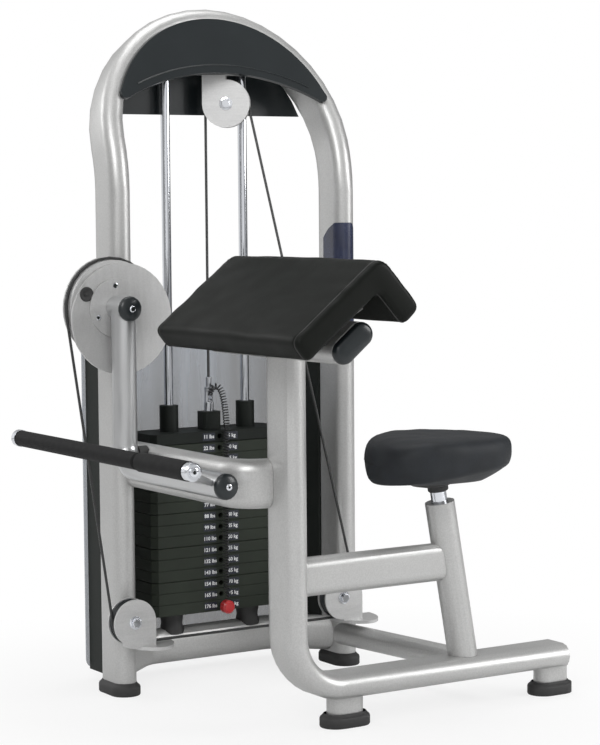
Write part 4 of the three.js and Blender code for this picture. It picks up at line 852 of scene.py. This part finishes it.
def make_top_bracket():
    turn = math.atan2(TOP["reach_y"], TOP["reach_x"])
    radius, cap, x, y = TOP["radius"], TOP["cap"], TOP["x"], TOP["y"]
    inner, thick = CHEEK["inner"], CHEEK["thick"]
    outline = arc(x, TOP["z"], radius, 180, 450) + [(x, cap), (x - radius, cap)]
    roof = [(x - radius, cap - thick), (x, cap - thick), (x, cap), (x - radius, cap)]
    verts, faces = joined(cheek_shapes(outline, x, y, TOP["z"]) + [upright(roof, y - inner, y + inner)])

    def turned_about(point):
        px, away = point[0], point[1] - y
        turned_x = px * math.cos(turn) + away * math.sin(turn)
        return turned_x, y - px * math.sin(turn) + away * math.cos(turn), point[2]

    bracket = piece("top_wheel_bracket", [turned_about(v) for v in verts], faces, "zinc", "bare_steel")
    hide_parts("wheel_bracket_top")
    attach(bracket, "frame")
    front = turned_about((x, y - inner - thick, TOP["z"]))
    bolt("wheel_bolt_top", front, (-math.sin(turn), -math.cos(turn), 0))


def make_bolts():
    for name, at in BOLTS:
        bolt(name, at, FRONT)


# Black plug in the cam face, with the grommet round it
PLUG = {"angle": 156, "at": 74, "x": -330, "z": 838, "front": -96, "steps": 32}
PLUG_PROFILE = [(-5, 11), (-0.2, 12.6), (0.1, 15.5), (1.6, 15.2), (2.2, 13.2), (1.4, 11.0), (0.4, 10.0),
                (0.2, 4.2), (2.4, 3.8), (2.9, 2.6)]


def make_plug():
    a = math.radians(PLUG["angle"])
    at = (PLUG["x"] + PLUG["at"] * math.cos(a), PLUG["front"], PLUG["z"] + PLUG["at"] * math.sin(a))
    piece("cam_plug", *turned(PLUG_PROFILE, at, FRONT, PLUG["steps"]), "rubber", "rubber", "arm")


# Front header panel: a crescent with round tips on the leaning arch, and a lip along its lower edge
HEADER = {"lean": 20, "kink": 1080, "kink_radius": 300, "post_half": 50, "tip_half": 257, "tip": 1280,
          "crown": 1440, "under": 1320, "draw_in": 17, "drop": 18, "front": 6.3, "bed": 3, "steps": 64,
          "tip_steps": 12}
LIP = {"half": 238, "tip": 1281, "crown": 1337, "radius": 1.7, "share": 0.9, "sides": 8}


def lean_at(length):
    """How far the posts have turned at a length along them, and their middle's Y and Z there."""
    lean = math.radians(HEADER["lean"])
    bend = HEADER["kink_radius"] * lean
    turn = max(0, min(lean, (length - HEADER["kink"]) / HEADER["kink_radius"]))
    rest = max(0, length - HEADER["kink"] - bend)
    y = HEADER["kink_radius"] * (1 - math.cos(turn)) + rest * math.sin(lean)
    z = min(length, HEADER["kink"]) + HEADER["kink_radius"] * math.sin(turn) + rest * math.cos(lean)
    return turn, y, z


def length_at(height):
    """The length along the posts at a height above their bend."""
    lean = math.radians(HEADER["lean"])
    return (HEADER["kink"] + HEADER["kink_radius"] * lean
            + (height - HEADER["kink"] - HEADER["kink_radius"] * math.sin(lean)) / math.cos(lean))


def crown_arc(half, tip, crown, share=1.0):
    """An arc from tip to tip over a crown; a share below 1 leaves both ends off."""
    rise = crown - tip
    radius = (half * half + rise * rise) / (2 * rise)
    spread = math.asin(min(1, half / radius)) * share
    angles = (spread * (2 * k / HEADER["steps"] - 1) for k in range(HEADER["steps"] + 1))
    return [(radius * math.sin(a), crown - radius + radius * math.cos(a)) for a in angles]


def on_arch(x, length, lift):
    """A place in front of the arch's nose, at a length along the bent posts."""
    turn, y, z = lean_at(length)
    out = -HEADER["post_half"] - lift
    return x, y + out * math.cos(turn), z - out * math.sin(turn)


def make_header():
    tip = length_at(HEADER["tip"])
    lower_half, lower_tip = HEADER["tip_half"] - HEADER["draw_in"], tip - HEADER["drop"]
    upper = crown_arc(HEADER["tip_half"], tip, length_at(HEADER["crown"]))
    lower = crown_arc(lower_half, lower_tip, length_at(HEADER["under"]))
    top, low = Vector(upper[-1]), Vector(lower[-1])
    middle, reach = (top + low) / 2, (top - low) / 2
    steps = HEADER["tip_steps"]
    nose = [middle + Matrix.Rotation(-math.pi * k / steps, 2) @ reach for k in range(1, steps)]
    outline = upper + [tuple(v) for v in nose] + lower[::-1] + [(-v.x, v.y) for v in reversed(nose)]
    layers = [[on_arch(x, y, lift) for x, y in outline] for lift in (-HEADER["bed"], HEADER["front"])]
    panel = piece("header_panel", *skin(layers), "gloss", "black_plastic")
    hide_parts("header_front")
    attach(panel, "frame")
    lip = crown_arc(LIP["half"], length_at(LIP["tip"]), length_at(LIP["crown"]), LIP["share"])
    path = [on_arch(x, y, HEADER["front"]) for x, y in lip]
    piece("header_lip", *tube(path, LIP["radius"], LIP["sides"]), "gloss", "black_plastic", "frame")


# A bare film placard that wraps the right post's nose and inner side, with its top lower towards both edges
PLACARD = {"post_x": 284, "thick_half": 25, "nose": -25, "from_y": 14, "low": 702, "high": 1008, "proud": 0.5,
           "side_steps": 6, "nose_steps": 24, "nose_share": 0.92, "rows": 14, "fall": 34, "level_share": 0.35,
           "fall_power": 2.2}


def make_placard():
    outline = []
    r = PLACARD["thick_half"] + PLACARD["proud"]
    reach, steps = PLACARD["nose"] - PLACARD["from_y"], PLACARD["side_steps"]
    for k in range(steps + 1):
        outline.append((PLACARD["post_x"] - r, PLACARD["from_y"] + reach * k / steps))
    for k in range(1, PLACARD["nose_steps"] + 1):
        a = math.pi + math.pi * PLACARD["nose_share"] * k / PLACARD["nose_steps"]
        outline.append((PLACARD["post_x"] + r * math.cos(a), PLACARD["nose"] + r * math.sin(a)))
    count, rows, level = len(outline), PLACARD["rows"], PLACARD["level_share"]
    verts, faces = [], []
    for j in range(rows + 1):
        for i, (x, y) in enumerate(outline):
            across = abs(2 * i / (count - 1) - 1)
            past = max(0, (across - level) / (1 - level))
            top = PLACARD["high"] - PLACARD["fall"] * past ** PLACARD["fall_power"]
            verts.append((x, y, PLACARD["low"] + (top - PLACARD["low"]) * j / rows))
    for j in range(rows):
        for i in range(count - 1):
            a = j * count + i
            faces.append((a, a + 1, a + count + 1, a + count))
    piece("post_placard", verts, faces, "placard", "black_plastic", "frame")


def oval_ring(centre, u, v, wide, thin, count=56):
    """A ring with two straight sides and two round ends; the long way is along u."""
    u, v, centre = Vector(u).normalized(), Vector(v).normalized(), Vector(centre)
    points = []
    for a in turns(count):
        straight = (wide - thin) / 2 if math.cos(a) >= 0 else -(wide - thin) / 2
        points.append(centre + u * (straight + thin / 2 * math.cos(a)) + v * (thin / 2 * math.sin(a)))
    return points


# Domed caps on both ends of the arm pad's support; the dome holds (drawn in, outward) pairs
CAPS = {"x": -186, "z": 791, "wide": 97.6, "thin": 47, "rise": (195, 156)}
CAP_ENDS = {"pad_support_cap_near": (-767.3, -1), "pad_support_cap_far": (-302.7, 1)}
CAP_DOME = [(0, 0), (0, 4), (0.5, 7), (1.8, 10), (4.2, 12.4), (8, 14), (13, 14.8), (19, 15)]


def make_support_caps():
    along = Vector((CAPS["rise"][0], 0, CAPS["rise"][1])).normalized()
    across = Vector((-along.z, 0, along.x))
    for name, (start, way) in CAP_ENDS.items():
        rings = [oval_ring((CAPS["x"], start + way * out, CAPS["z"]), along, across, CAPS["wide"] - 2 * inset,
                           CAPS["thin"] - 2 * inset) for inset, out in CAP_DOME]
        cap = piece(name + "_dome", *skin(rings), "gloss", "black_plastic")
        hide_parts(name)
        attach(cap, "frame")


# Weld beads where frame tubes meet: name, centre, long and short direction of the ring, its length and width
BEADS = [
    ("weld_foot_column", (-47, -525, 60.4), (1, 0, 0), (0, 1, 0), 81, 45),
    ("weld_foot_seat", (482, -525, 60.4), (1, 0, 0), (0, 1, 0), 81, 45),
    ("weld_beam_column", (-154.6, -525, 311), (0, 0, 1), (0, 1, 0), 81, 43),
]
BEAD = {"radius": 2.1, "ripple": 0.35, "beat": 2.2, "sides": 6}


def make_welds():
    for name, centre, u, v, wide, thin in BEADS:
        normal = Vector(u).cross(Vector(v)).normalized()
        rings = []
        for i, point in enumerate(oval_ring(centre, u, v, wide, thin)):
            out = (point - Vector(centre)).normalized()
            radius = BEAD["radius"] + BEAD["ripple"] * math.sin(i * BEAD["beat"])
            rings.append(round_ring(point, out, normal, radius, BEAD["sides"]))
        piece(name, *skin(rings, closed=True), "silver", "silver_paint", "frame")


# Wide rubber flanges round the feet: name, place, length and width, direction of the length
FEET = [
    ("foot_cap_left", -284, 0, 118, 66, (0, 1, 0)), ("foot_cap_right", 284, 0, 118, 66, (0, 1, 0)),
    ("foot_cap_column", -47, -525, 110, 66, (1, 0, 0)), ("foot_cap_seat", 480, -525, 103, 66, (1, 0, 0)),
]
# Their rings: how much wider than the flange, and the height
FOOT_RINGS = ((-8, 0), (-3, 0), (0, 2.4), (0, 17), (-2.4, 20.4), (-7, 22.4), (-12, 24.6), (-15.5, 27.4),
              (-19, 27.4))


def make_foot_flanges():
    for name, x, y, wide, thin, u in FEET:
        u = Vector(u)
        v = Vector((u.y, u.x, 0))
        rings = [oval_ring((x, y, z), u, v, wide + grow, thin + grow) for grow, z in FOOT_RINGS]
        verts, faces = skin(rings)
        # Its end faces are left off: the foot's solid stands in the ring, and the tube goes through its top
        piece(name, verts, faces[:-2], "rubber", "rubber", "frame")


make_camera()
make_world()
make_lamps()
make_floor()
dress_nodes()
make_arm_pad()
make_seat()
make_lanyard()
make_stack_cable()
make_labels()
make_screws()
make_bolts()
make_low_brackets()
make_top_bracket()
make_plug()
make_header()
make_support_caps()
make_placard()
make_welds()
make_foot_flanges()

bpy.context.scene.view_settings.view_transform = "Standard"
